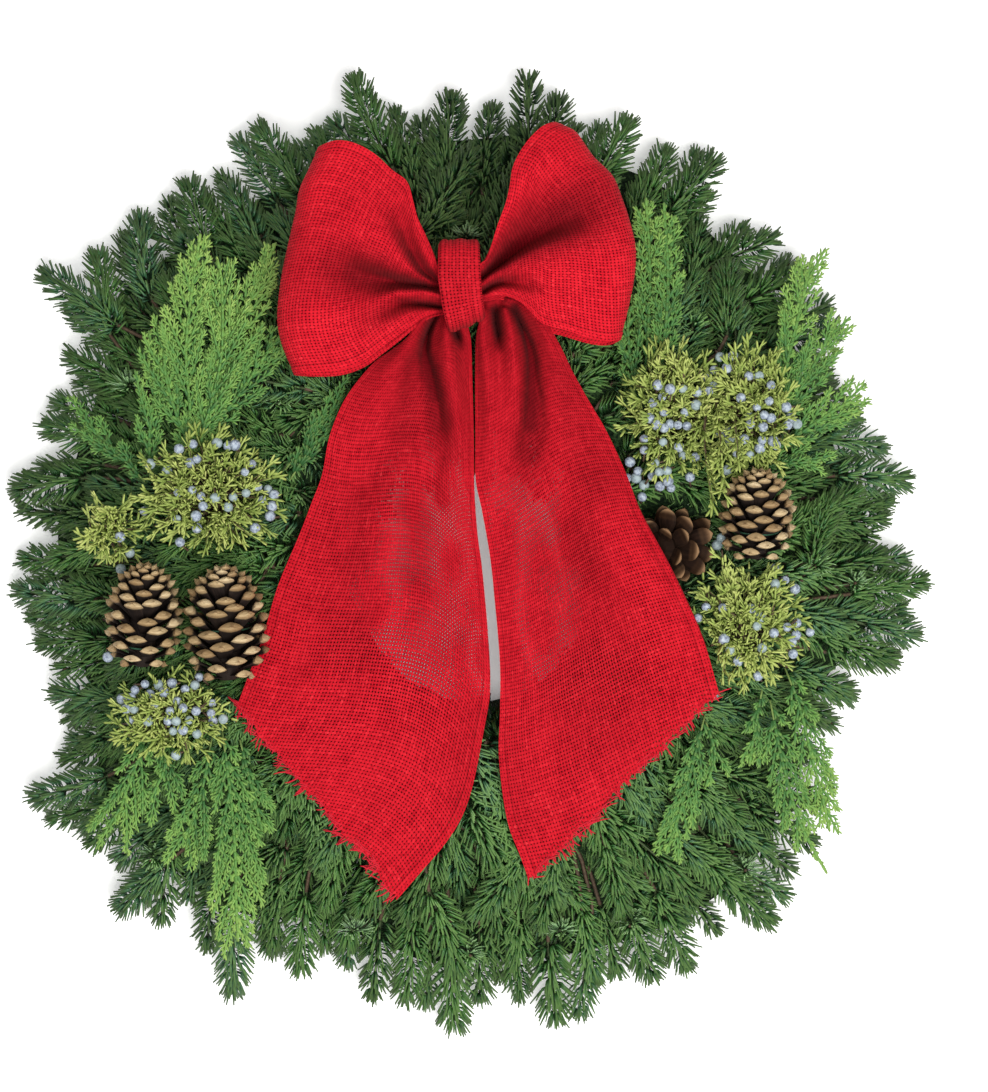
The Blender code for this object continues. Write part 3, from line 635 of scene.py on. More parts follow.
RIGHT_TAIL_FOLDS = [
    # two lobes of the tube either side of the mouth
    (((484, 314), (482, 335), (485, 360), (489, 400), (492, 450), (496, 500)), (6, 10, 10, 8, 5, 1), (3, 5, 7, 9, 11, 13), (3, 4, 5, 6, 8, 10)),
    (((505, 312), (510, 330), (513, 352), (515, 390), (516, 430)), (9, 12, 11, 8, 2), (3, 4, 5, 6, 9), (3, 5, 7, 9, 12)),
    (((495, 310), (496, 322), (498, 332), (499, 345)), (-18, -22, -18, -2), (2.4, 2.6, 2.4, 2.4), (2.2, 2.4, 2.4, 2.6)),
    # the deep groove between the tube and the flap: steep on the tube's side
    (((514, 308), (522, 326), (528, 342), (531, 360), (532, 394), (531, 425), (527, 452), (520, 478)), (-12, -20, -24, -24, -21, -14, -7, -1), (2, 2.4, 3, 4, 6, 9, 12, 16), (2, 2.2, 2.4, 2.6, 3.2, 5, 8, 12)),
    # the flap's rolled ridge
    (((508, 301), (524, 309), (538, 322), (549, 341), (560, 367), (569, 396), (580, 430)), (9, 12, 13, 12, 9, 6, 1), (3, 5, 7, 9, 12, 16, 20), (3, 4, 5, 6, 8, 11, 14)),
    (((565, 375), (578, 420), (600, 470)), (-4, -6, -1), (8, 12, 16), None),
    (((520, 520), (522, 600), (530, 680)), (3, 4, 2), (12, 16, 20), None),
    (((560, 560), (580, 640), (590, 720)), (-3, -4, -2), (20, 24, 26), None),
    (((610, 500), (625, 580), (640, 650)), (3, 4, 2), (14, 18, 22), None),
    (((650, 640), (665, 690), (640, 740)), (2.5, 3, 1), (14, 14, 14), None),
    (((500, 640), (505, 740), (520, 820), (535, 860)), (-2, -3, -3, -2), (8, 10, 12, 12), None),
]


def make_tail(name, folds, seed):
    c = TAILS[name]
    n, m = 126, 68
    u, v = np.linspace(0, 1, n) ** 1.25, np.linspace(0, 1, m)
    L = at_share(smooth_line(c["left"]), u)[:, None]
    R = at_share(smooth_line(c["right"]), u)[:, None]
    w = v[None, :, None]
    xy = L * (1 - w) + R * w
    y = xy[..., 1]
    z = 77.5 - 9.5 * smoothstep(146 - y, 0, 62) + 3.0 * np.sin(np.pi * v)[None]
    z += 9.0 * smoothstep(y, 138, 160)
    if name.endswith("right"):
        z += 29.0 * np.exp(-((y - 2) / 50) ** 2) * (np.clip((v - 0.45) / 0.55, 0, 1) ** 1.3)[None]
    h = np.zeros_like(z)
    for line, amp, wl, wr in folds:
        h += fold(xy, px([(*p, 78.0) for p in line]), amp, wl, wr)
    rng = np.random.default_rng(seed)
    for _ in range(8):
        k, ph, d = rng.uniform(0.008, 0.03), rng.uniform(0, 6.28), rng.uniform(0, 6.28)
        h += 0.55 * np.sin(k * 2 * np.pi * (xy[..., 0] * np.cos(d) + y * np.sin(d)) + ph) * smoothstep(u, 0.15, 0.5)[:, None]
    z = z + h
    z = np.where(z < 64.5, 64.5 - 2.0 * (1 - np.exp((z - 64.5) / 8.0)), z)
    grid = np.concatenate([xy, z[..., None]], -1)
    across = lengths(grid, 1)
    vm = across / across[:, -1:] * 150.0
    um, vm = even_threads(lengths(grid, 0), vm, v)
    # the frayed end isn't a clean line
    jag = rng.normal(0, 1, m) * 0.9 + np.repeat(rng.normal(0, 1.1, m // 4 + 1), 4)[:m] * 1.0
    end = unit(grid[-1] - grid[-3])
    grid[-1] += end * jag[:, None]
    grid[-2] += end * jag[:, None] * 0.5
    return grid, um, vm, v


def grid_normals(grid):
    du = np.gradient(grid, axis=0)
    dv = np.gradient(grid, axis=1)
    n = unit(np.cross(du, dv))
    return n


def sheet_soup(grid, um, vm, hem):
    """A closed skin round a grid of points: thicker along the two hems."""
    n, m = grid.shape[:2]
    nor = grid_normals(grid)
    t = (T_CLOTH / 2 + hem)[None, :, None]
    a, b = grid + nor * t, grid - nor * t
    verts = np.concatenate([a.reshape(-1, 3), b.reshape(-1, 3)])
    su = 0.01 + 0.98 * um / um.max()
    sv = 0.01 + 0.98 * vm / 150.0
    flat_uv = np.stack([su, sv], -1).reshape(-1, 2)
    idx = np.arange(n * m).reshape(n, m)
    q = np.stack([idx[:-1, :-1], idx[1:, :-1], idx[1:, 1:], idx[:-1, 1:]], -1).reshape(-1, 4)
    ta = np.concatenate([q[:, [0, 1, 2]], q[:, [0, 2, 3]]])
    tb = ta[:, ::-1] + n * m
    uva, uvb = flat_uv[ta], flat_uv[ta[:, ::-1]]
    k = n * m
    tris, uvs = [ta, tb], [uva, uvb]

    def strip(line, inner, flip):
        """Closes one border. line: vertex ids along it, inner: the next row in, for the map."""
        i0, i1 = line[:-1], line[1:]
        t1 = np.stack([i0, i1, i1 + k], -1)
        t2 = np.stack([i0, i1 + k, i0 + k], -1)
        u1 = np.stack([flat_uv[i0], flat_uv[i1], flat_uv[inner[1:]]], 1)
        u2 = np.stack([flat_uv[i0], flat_uv[inner[1:]], flat_uv[inner[:-1]]], 1)
        if flip:
            t1, t2, u1, u2 = t1[:, ::-1], t2[:, ::-1], u1[:, ::-1], u2[:, ::-1]
        tris.extend([t1, t2])
        uvs.extend([u1, u2])

    strip(idx[0], idx[1], False)
    strip(idx[-1], idx[-2], True)
    strip(idx[:, 0], idx[:, 1], True)
    strip(idx[:, -1], idx[:, -2], False)
    tris, uvs = np.concatenate(tris), np.concatenate(uvs)
    vol = np.einsum("ij,ij->i", verts[tris[:, 0]], np.cross(verts[tris[:, 1]], verts[tris[:, 2]])).sum()
    if vol < 0:
        tris, uvs = tris[:, ::-1], uvs[:, ::-1]
    s = Soup()
    s.add(verts, tris, uvs)
    return s


def painted_crease_shade(g, creases):
    """How deep in a crease a place is, 0 to 1: the mask of the painted shade in the folds."""
    sep = g.new("ShaderNodeSeparateXYZ")
    g.nt.links.new(g.position(), sep.inputs[0])
    x, y = sep.outputs[0], sep.outputs[1]
    worst = None
    for line, amps, wl, wr in creases:
        pts = px(line) * 0.001 + SHIFT[:2]
        for i in range(len(pts) - 1):
            depth = -(amps[i] + amps[i + 1]) / 2
            if depth < 3.0:
                continue
            (ax, ay), (bx, by) = pts[i], pts[i + 1]
            dx, dy = float(bx - ax), float(by - ay)
            l2 = dx * dx + dy * dy
            t = g.math("ADD", g.math("MULTIPLY", x, dx / l2), g.math("MULTIPLY", y, dy / l2))
            t = g.math("SUBTRACT", t, (float(ax) * dx + float(ay) * dy) / l2, clamp=True)
            ex = g.math("SUBTRACT", x, g.math("ADD", g.math("MULTIPLY", t, dx), float(ax)))
            ey = g.math("SUBTRACT", y, g.math("ADD", g.math("MULTIPLY", t, dy), float(ay)))
            d = g.math("SQRT", g.math("ADD", g.math("MULTIPLY", ex, ex), g.math("MULTIPLY", ey, ey)))
            w = (wl[i] + wl[i + 1] + (wr or wl)[i] + (wr or wl)[i + 1]) / 4 * 0.001
            m = g.smooth(d, w * 0.2, w * 2.0 + 0.0012, min(1.0, depth / 16.0), 0.0)
            worst = m if worst is None else g.math("MAXIMUM", worst, m)
    return worst


def burlap(name, length, width, pitch=(2.45, 1.92), hem=True, seed=0.0, loose=0.0, gather_and_shade=None, creases=()):
    """Plain weave of uneven yarns with open holes. length and width in mm are the cloth's flat size,
    pitch the spacing of the yarns along and across it, and loose opens the middle of the cloth a little.
    Up to the gather's second number, in mm from the start, the yarns are pushed together, and its third number is the
    strength of the painted shade laid over that stretch."""
    mat, nt, sh = nodes_of(name)
    g = Graph(nt)
    u, v = g.uv()
    a0 = g.math("MULTIPLY", g.math("SUBTRACT", u, 0.01), length / 0.98)
    b0 = g.math("MULTIPLY", g.math("SUBTRACT", v, 0.01), width / 0.98)
    flat = g.vec(a0, b0, seed)
    sway = g.noise(flat, 0.016, 1.0, 0.5)
    sway2 = g.noise(g.vec(b0, a0, seed + 3.1), 0.016, 1.0, 0.5)
    a = g.math("ADD", g.math("DIVIDE", a0, pitch[0]), g.math("MULTIPLY", sway, 0.8))
    b = g.math("ADD", g.math("DIVIDE", b0, pitch[1]), g.math("MULTIPLY", sway2, 0.8))
    ia, ib = g.math("FLOOR", a), g.math("FLOOR", b)
    fa = g.math("ABSOLUTE", g.math("SUBTRACT", g.math("FRACT", a), 0.5))
    fb = g.math("ABSOLUTE", g.math("SUBTRACT", g.math("FRACT", b), 0.5))
    # yarn by yarn thickness, with slubs along each yarn
    slub_b = g.noise(g.vec(g.math("MULTIPLY", a, 0.14), g.math("MULTIPLY", ib, 7.31), seed), 1.0, 2.0, 0.6)
    slub_a = g.noise(g.vec(g.math("MULTIPLY", b, 0.14), g.math("MULTIPLY", ia, 5.17), seed + 9.0), 1.0, 2.0, 0.6)
    open_noise = g.noise(flat, 0.020, 2.0, 0.5)
    inner = g.math("MULTIPLY", g.smooth(b0, 0.16 * width, 0.45 * width), g.smooth(b0, 0.62 * width, 0.95 * width, 1.0, 0.0))
    inner = g.math("MULTIPLY", inner, g.math("MULTIPLY", g.smooth(a0, 90.0, 170.0), g.smooth(a0, 270.0, 350.0, 1.0, 0.0)))
    worn = g.math("ADD", 0.05, g.math("MULTIPLY", inner, loose))
    thin = g.math("SUBTRACT", 1.0, g.math("MULTIPLY", g.smooth(open_noise, 0.30, 0.62), worn))
    wb = g.math("MULTIPLY", g.smooth(slub_b, 0.22, 0.78, 0.33, 0.47), thin)
    wa = g.math("MULTIPLY", g.smooth(slub_a, 0.22, 0.78, 0.31, 0.44), thin)
    if gather_and_shade:
        bunched_and_shaded = g.smooth(a0, gather_and_shade[0], gather_and_shade[1], 1.0, 0.0)
        close = g.math("ADD", 1.0, g.math("MULTIPLY", bunched_and_shaded, 0.22))
        wb, wa = g.math("MULTIPLY", wb, close), g.math("MULTIPLY", wa, close)
    if hem:
        # the selvedge is packed closer
        edge = g.math("MINIMUM", b0, g.math("SUBTRACT", width, b0))
        packed = g.smooth(edge, 4.2, 5.4, 1.12, 1.0)
        wb, wa = g.math("MULTIPLY", wb, packed), g.math("MULTIPLY", wa, packed)
    rb, ra = g.math("DIVIDE", fb, wb), g.math("DIVIDE", fa, wa)
    # half-round yarn sections that rise and dip over each other
    prof_b = g.math("SQRT", g.math("SUBTRACT", 1.0, g.math("MULTIPLY", rb, rb), clamp=True))
    prof_a = g.math("SQRT", g.math("SUBTRACT", 1.0, g.math("MULTIPLY", ra, ra), clamp=True))
    # each yarn is up where the other is down, and so on by turns
    turn = g.math("MULTIPLY", g.math("ADD", ia, ib), math.pi)
    wave_b = g.math("MULTIPLY", g.math("COSINE", turn), g.math("COSINE", g.math("MULTIPLY", g.math("SUBTRACT", g.math("FRACT", a), 0.5), math.pi)))
    wave_a = g.math("MULTIPLY", g.math("COSINE", turn), g.math("COSINE", g.math("MULTIPLY", g.math("SUBTRACT", g.math("FRACT", b), 0.5), -math.pi)))
    hb = g.math("MULTIPLY", prof_b, g.math("ADD", 0.60, g.math("MULTIPLY", wave_b, 0.40)))
    ha = g.math("MULTIPLY", prof_a, g.math("SUBTRACT", 0.60, g.math("MULTIPLY", wave_a, 0.40)))
    height = g.math("MAXIMUM", ha, hb)
    thread = g.math("GREATER_THAN", height, 0.03)
    fibre = g.noise(g.vec(g.math("MULTIPLY", a, 2.0), g.math("MULTIPLY", b, 2.0), seed), 1.0, 3.0, 0.7)
    which = g.math("GREATER_THAN", ha, hb)
    tone = g.math("ADD", g.math("MULTIPLY", slub_a, which), g.math("MULTIPLY", slub_b, g.math("SUBTRACT", 1.0, which)))
    tone = g.math("ADD", g.math("MULTIPLY", tone, 0.55), g.math("MULTIPLY", fibre, 0.45))
    red = g.ramp(tone, [(0.25, (0.34, 0.0025, 0.009)), (0.43, (0.52, 0.006, 0.016)), (0.60, (0.69, 0.014, 0.027)), (0.8, (0.86, 0.070, 0.080))])
    # painted shade: the colour darkens where a yarn's round top falls away to the gaps between yarns
    red = g.mix(g.smooth(height, 0.12, 0.66, 0.92, 0.0), red, (0.075, 0.001, 0.004))
    # painted shade: the bunched cloth near the start is darkened
    if gather_and_shade:
        red = g.mix(g.math("MULTIPLY", bunched_and_shaded, gather_and_shade[2]), red, (0.16, 0.002, 0.006))
    # painted shade: the cloth is darkened along the deep creases of the folds
    deep = painted_crease_shade(g, creases)
    if deep is not None:
        red = g.mix(g.math("MULTIPLY", deep, 0.72), red, (0.050, 0.001, 0.003))
    if hem:
        # painted shade: a dark line along the groove of the hem
        groove = g.smooth(g.math("ABSOLUTE", g.math("SUBTRACT", edge, 5.2)), 0.15, 0.9, 0.35, 0.0)
        red = g.mix(groove, red, (0.10, 0.001, 0.003))
    nt.links.new(red, sh.inputs["Base Color"])
    nt.links.new(thread, sh.inputs["Alpha"])
    sh.inputs["Roughness"].default_value = 0.9
    sh.inputs["Specular IOR Level"].default_value = 0.08
    sh.inputs["Sheen Weight"].default_value = 0.03
    sh.inputs["Sheen Roughness"].default_value = 0.5
    sh.inputs["Sheen Tint"].default_value = (1.0, 0.35, 0.35, 1.0)
    fuzz = g.math("ADD", height, g.math("MULTIPLY", fibre, 0.25))
    g.bump(fuzz, 0.7, 0.0003, sh)
    return mat


bow_cloths = []      # (name, object, flat length in metres, cut area)
grids = {}
for nm, folds, seed in (("bow_loop_left", LEFT_FOLDS, 11), ("bow_loop_right", RIGHT_FOLDS, 12)):
    grids[nm] = make_loop(nm, folds, seed)
for nm, folds, seed in (("bow_tail_left", LEFT_TAIL_FOLDS, 21), ("bow_tail_right", RIGHT_TAIL_FOLDS, 22)):
    grids[nm] = make_tail(nm, folds, seed)

for k, (nm, (grid, um, vm, v)) in enumerate(grids.items()):
    hem = 0.35 * smoothstep(np.minimum(v, 1 - v) * 150, 6.0, 4.4)
    soup = sheet_soup(grid, um, vm, hem)
    mat = burlap(f"burlap_{nm[4:]}", um.max(), 150.0, seed=3.0 * k, loose=0.21 if "tail" in nm else 0.0,
                 gather_and_shade=(20.0, 135.0, 0.42) if "tail" in nm else (4.0, 50.0, 0.08),
                 creases={"bow_loop_left": LEFT_FOLDS, "bow_loop_right": RIGHT_FOLDS, "bow_tail_left": LEFT_TAIL_FOLDS,
                          "bow_tail_right": RIGHT_TAIL_FOLDS}[nm])
    obj = soup.piece(f"{nm}_cloth", [mat], (nm,), "burlap", smooth=70)
    da = np.linalg.norm(np.cross(grid[1:, :-1] - grid[:-1, :-1], grid[:-1, 1:] - grid[:-1, :-1]), axis=-1)
    bow_cloths.append((nm, obj, float(um[:, um.shape[1] // 2].max()) * 0.001, float(da.sum()) * 1e-6))


def make_knot():
    """The band that wraps the bow's waist: one turn of cloth with its edges turned in."""
    n, m = 96, 34
    a = np.linspace(0, 2 * np.pi, n, endpoint=False)
    s = np.linspace(-1, 1, m)
    ca, sa = np.cos(a), np.sin(a)
    # square with round corners, in Y and Z
    e = 3.6
    r = (np.abs(ca / 26.4) ** e + np.abs(sa / 26.0) ** e) ** (-1 / e)
    y0, z0 = 175.5 + r * ca, 105.5 + r * sa
    ring = np.stack([y0, z0], -1)
    tangent = unit(np.roll(ring, -1, 0) - np.roll(ring, 1, 0))
    ny, nz = tangent[:, 1], -tangent[:, 0]
    flip = np.sign(ny * ca + nz * sa)
    ny, nz = ny * flip, nz * flip
    t_y = np.clip((202 - y0) / 53.0, 0, 1)
    half = np.interp(t_y, [0, 0.5, 1], [12.4, 12.9, 11.4])
    centre = np.interp(t_y, [0, 0.45, 0.75, 1], [-6.6, -6.4, -4.6, -2.0])
    crown = -1.0 * np.abs(s) ** 4 - 1.5 * smoothstep(np.abs(s), 0.88, 1.0)
    crease = (0.5 * np.sin(2.6 * np.pi * s + 0.8)[None] * (0.6 + 0.4 * np.sin(a * 2)[:, None])
              - 1.2 * np.exp(-((s[None] - 0.30 + 0.25 * ca[:, None]) / 0.10) ** 2) * smoothstep(-ca, -0.3, 1.0)[:, None]
              - 1.0 * np.exp(-((s[None] + 0.45 + 0.12 * ca[:, None]) / 0.10) ** 2) * smoothstep(ca, -0.5, 1.0)[:, None])
    slant = 4.2 * smoothstep(-ca, 0.0, 0.9)[:, None] * (s[None] - 0.25)
    off = crown[None] + crease
    x = centre[:, None] + half[:, None] * s[None]
    y = y0[:, None] + ny[:, None] * off + slant
    z = z0[:, None] + nz[:, None] * off
    grid = np.stack([x, y, z], -1)
    cum = np.concatenate([[0], np.cumsum(np.hypot(np.diff(np.append(y0, y0[0])), np.diff(np.append(z0, z0[0]))))])
    closed = np.concatenate([grid, grid[:1]])
    um = np.repeat(cum[:, None], m, 1)
    width = 26.0
    vm = np.repeat((s[None] * 0.5 + 0.5) * width, n + 1, 0)
    around = np.roll(grid, -1, 0) - np.roll(grid, 1, 0)
    nor = unit(np.cross(around, np.gradient(grid, axis=1)))
    nor = np.concatenate([nor, nor[:1]])
    t = 0.9
    outer, inner = closed + nor * t, closed - nor * t
    k = n * m
    verts = np.concatenate([outer[:-1].reshape(-1, 3), inner[:-1].reshape(-1, 3)])
    idx = np.concatenate([np.arange(k).reshape(n, m), np.arange(m)[None]])
    uvg = np.stack([0.01 + 0.98 * um / um.max(), 0.01 + 0.98 * vm / width], -1)
    tris, uvs = [], []
    for i in range(n):
        for j in range(m - 1):
            q = (idx[i, j], idx[i + 1, j], idx[i + 1, j + 1], idx[i, j + 1])
            c = (uvg[i, j], uvg[i + 1, j], uvg[i + 1, j + 1], uvg[i, j + 1])
            tris += [(q[0], q[1], q[2]), (q[0], q[2], q[3]), (q[2] + k, q[1] + k, q[0] + k), (q[3] + k, q[2] + k, q[0] + k)]
            uvs += [(c[0], c[1], c[2]), (c[0], c[2], c[3]), (c[2], c[1], c[0]), (c[3], c[2], c[0])]
        for j, jn, turned in ((0, 1, False), (m - 1, m - 2, True)):
            q = (idx[i, j], idx[i + 1, j], idx[i + 1, j] + k, idx[i, j] + k)
            c = (uvg[i, j], uvg[i + 1, j], uvg[i + 1, jn], uvg[i, jn])
            two = [(q[0], q[2], q[1]), (q[0], q[3], q[2])]
            cu = [(c[0], c[2], c[1]), (c[0], c[3], c[2])]
            if turned:
                two, cu = [t_[::-1] for t_ in two], [t_[::-1] for t_ in cu]
            tris += two
            uvs += cu
    tris, uvs = np.array(tris), np.array(uvs)
    vol = np.einsum("ij,ij->i", verts[tris[:, 0]], np.cross(verts[tris[:, 1]], verts[tris[:, 2]])).sum()
    if vol < 0:
        tris, uvs = tris[:, ::-1], uvs[:, ::-1]
    s_ = Soup()
    s_.add(verts, tris, uvs)
    mat = burlap("burlap_knot", um.max(), width, pitch=(1.95, 2.42), hem=False, seed=40.0)
    obj = s_.piece("bow_knot_cloth", [mat], ("bow_knot",), "burlap", smooth=70)
    return obj, um.max() * 0.001, width * 0.001, verts


knot_obj, knot_len, knot_w, knot_verts = make_knot()


# frayed yarn ends along the two cuts
def thread_mat():
    mat, nt, sh = nodes_of("burlap_yarn")
    g = Graph(nt)
    u, v = g.uv()
    n = g.noise(g.vec(g.math("MULTIPLY", u, 40.0), g.math("MULTIPLY", v, 9.0), 1.0), 1.0, 3.0, 0.6)
    nt.links.new(g.ramp(n, [(0.3, (0.42, 0.004, 0.016)), (0.5, (0.62, 0.012, 0.030)), (0.7, (0.78, 0.045, 0.065))]), sh.inputs["Base Color"])
    sh.inputs["Roughness"].default_value = 0.85
    sh.inputs["Specular IOR Level"].default_value = 0.25
    return mat


YARN = thread_mat()


def make_fringe(name, cloth, seed, inward):
    grid = grids[cloth][0]
    rng = np.random.default_rng(seed)
    m = grid.shape[1]
    lines, rads = [], []

    def hair(p, d, length, r):
        d = unit(d + rng.normal(0, 0.20, 3) * np.array([1, 1, 0.5]))
        bend = rng.normal(0, 1, 3) * np.array([1, 1, 0.35])
        bend -= d * (bend @ d)
        s = np.linspace(0, 1, 7)[:, None]
        curl = rng.uniform(0.05, 0.40)
        q = p + d * length * s + unit(bend) * length * curl * s ** 2 + np.array([0, 0, -1.0]) * length * 0.10 * s ** 2
        q += rng.normal(0, 0.15, (7, 3)) * s
        lines.append(q)
        rads.append(r * np.array([1.0, 1.05, 1.0, 0.95, 0.9, 0.75, 0.35]))

    end = grid[-1]
    warp = unit(grid[-1] - grid[-6])
    weft = unit(np.gradient(grid[-3], axis=0)) * inward
    clump = np.repeat(rng.uniform(0, 1, 32), 3)
    for i in range(90):
        x = (i + rng.uniform(0.1, 0.9)) / 90 * (m - 1)
        j = int(min(x, m - 2))
        f = x - j
        p = end[j] * (1 - f) + end[j + 1] * f
        c = clump[i]
        hair(p - warp[j] * 2.5, warp[j] + 0.5 * (c - 0.4) * weft[j], rng.uniform(3.0, 7.0) + 4.5 * (c > 0.65), 0.58)
    for i in range(90):
        # the loose crosswise yarns hang out of the cut in bunches
        x = (int(rng.uniform(0, 30)) + rng.normal(0, 0.18)) / 30 * (m - 1)
        x = float(np.clip(x, 0, m - 1.01))
        j = int(x)
        f = x - j
        p = end[j] * (1 - f) + end[j + 1] * f
        long = rng.uniform() < 0.22
        hair(p - warp[j] * rng.uniform(-1.0, 3.5), weft[j] + 0.25 * warp[j], rng.uniform(4.0, 9.0) + (6.0 if long else 0), 0.52)
    lines, rads = np.array(lines), np.array(rads)
    lines[..., 2] = np.maximum(lines[..., 2], 50.0)
    verts, tris, su = tubes(lines, rads, 4)
    s = Soup()
    s.batch(verts, tris, plain_uv(su, len(lines)))
    return s.piece(name, [YARN], (), "burlap")


fringe_left = make_fringe("bow_fringe_left", "bow_tail_left", 31, -1.0)
fringe_right = make_fringe("bow_fringe_right", "bow_tail_right", 32, 1.0)

for nm, obj, length, area in bow_cloths:
    print("cloth", nm, "flat 150 mm x", round(length * 1000), "mm, its own area", round(area, 4), "of", round(0.15 * length, 4))


# --------------------------------------------------- what lies over the greenery
CELL = 2.0
SPAN = 340.0
N_CELL = int(2 * SPAN / CELL)
lid = np.full((N_CELL, N_CELL), 1e3)       # lowest height of what lies above the fir
roof = np.full((N_CELL, N_CELL), 1e3)      # the same, for the cloth alone


def cells(p):
    i = np.clip(((p[..., 0] + SPAN) / CELL).astype(int), 0, N_CELL - 1)
    j = np.clip(((p[..., 1] + SPAN) / CELL).astype(int), 0, N_CELL - 1)
    return i, j


def lay(target, points, spread=1):
    pts = points.reshape(-1, 3)
    for dx in range(-spread, spread + 1):
        for dy in range(-spread, spread + 1):
            i, j = cells(pts + np.array([dx * CELL, dy * CELL, 0]))
            np.minimum.at(target, (i, j), pts[:, 2])


for grid, *_ in grids.values():
    lay(lid, grid, 1)
    lay(roof, grid, 1)
lay(lid, knot_verts, 1)
lay(roof, knot_verts, 1)


def lid_at(p, which=None):
    i, j = cells(p)
    return (lid if which is None else which)[i, j]


# ------------------------------------------------------------------ pine cones
CONES = (
    ((-211, -40, 84), (0.05, 1.0, 0.22), 66, 25.5),
    ((-158, -45, 85), (-0.03, 1.0, 0.16), 73, 28.0),
    ((131, 7, 63.5), (0.42, 0.10, -0.92), 48, 29.0),
    ((186, 25, 84), (0.04, 1.0, 0.25), 56, 25.0),
)
CONE_PROFILE = np.array([(0.0, 0.60), (0.06, 0.80), (0.16, 0.96), (0.30, 1.0), (0.45, 0.98),
                         (0.60, 0.88), (0.74, 0.70), (0.86, 0.48), (0.95, 0.28), (1.0, 0.16)])


def cone_material(name, inside, faces, freckle, painted_lit_rim=None):
    mat, nt, sh = nodes_of(name)
    g = Graph(nt)
    u, v = g.uv()
    cu = g.math("MULTIPLY", u, 8.0)
    rv = g.math("MULTIPLY", v, 8.0)
    col, row = g.math("FLOOR", cu), g.math("FLOOR", rv)
    fu, t = g.math("FRACT", cu), g.math("FRACT", rv)
    rnd, _ = g.white(g.vec(col, row, 0.71))
    # t: 0 at the core, 0.5 at the shoulder, 1 at the middle of the scale's face
    streak = g.noise(g.vec(g.math("MULTIPLY", g.math("ADD", fu, g.math("MULTIPLY", col, 3.7)), 9.0), g.math("MULTIPLY", t, 1.6), row), 1.0, 3.0, 0.65)
    fleck = g.noise(g.vec(g.math("ADD", g.math("MULTIPLY", fu, 5.0), col), g.math("ADD", g.math("MULTIPLY", t, 5.0), row), 2.2), 1.0, 4.0, 0.7)
    # painted shade: the shaft colour between the scales is near-black, darker than the brown it has
    body = g.ramp(streak, list(zip((0.3, 0.55, 0.8), inside)))
    face = g.ramp(g.math("ADD", g.math("MULTIPLY", streak, 0.5), g.math("MULTIPLY", rnd, 0.5)), list(zip((0.2, 0.45, 0.65, 0.85), faces)))
    face = g.mix(g.smooth(fleck, 0.50, 0.72, 0.0, 0.50), face, freckle)
    umbo = g.smooth(t, 0.90, 0.97, 0.0, 0.65)
    face = g.mix(umbo, face, freckle)
    rim = g.smooth(g.math("ABSOLUTE", g.math("SUBTRACT", t, 0.62)), 0.0, 0.07, 0.50, 0.0)
    face = g.mix(rim, face, freckle)
    # painted highlight: the outer edges of the scale faces are lightened, as if lit
    if painted_lit_rim:
        face = g.mix(g.smooth(t, 0.66, 0.84, 0.0, 0.75), face, painted_lit_rim)
    out = g.mix(g.smooth(t, 0.53, 0.61), body, face)
    nt.links.new(out, sh.inputs["Base Color"])
    nt.links.new(g.smooth(t, 0.4, 0.7, 0.80, 0.58), sh.inputs["Roughness"])
    sh.inputs["Specular IOR Level"].default_value = 0.06 if painted_lit_rim else 0.22
    g.bump(g.math("ADD", streak, g.math("MULTIPLY", fleck, 0.7)), 0.55, 0.0005, sh)
    return mat


CONE_MAT = cone_material("pine_cone_scales", ((0.010, 0.006, 0.005), (0.020, 0.012, 0.009), (0.050, 0.028, 0.018)),
                         ((0.300, 0.185, 0.085), (0.460, 0.320, 0.160), (0.600, 0.450, 0.250), (0.740, 0.600, 0.380)), (0.200, 0.110, 0.050))
# partly painted shade: the open cone gets a darker copy of the scale colours, its own dark brown made darker still as
# it lies deep among the greenery, and is darkened most below
OPEN_CONE_MAT = cone_material("pine_cone_inside", ((0.010, 0.005, 0.003), (0.026, 0.012, 0.007), (0.060, 0.028, 0.014)),
                              ((0.034, 0.015, 0.007), (0.066, 0.031, 0.014), (0.115, 0.058, 0.028), (0.175, 0.095, 0.048)), (0.020, 0.009, 0.005), (0.60, 0.35, 0.18))


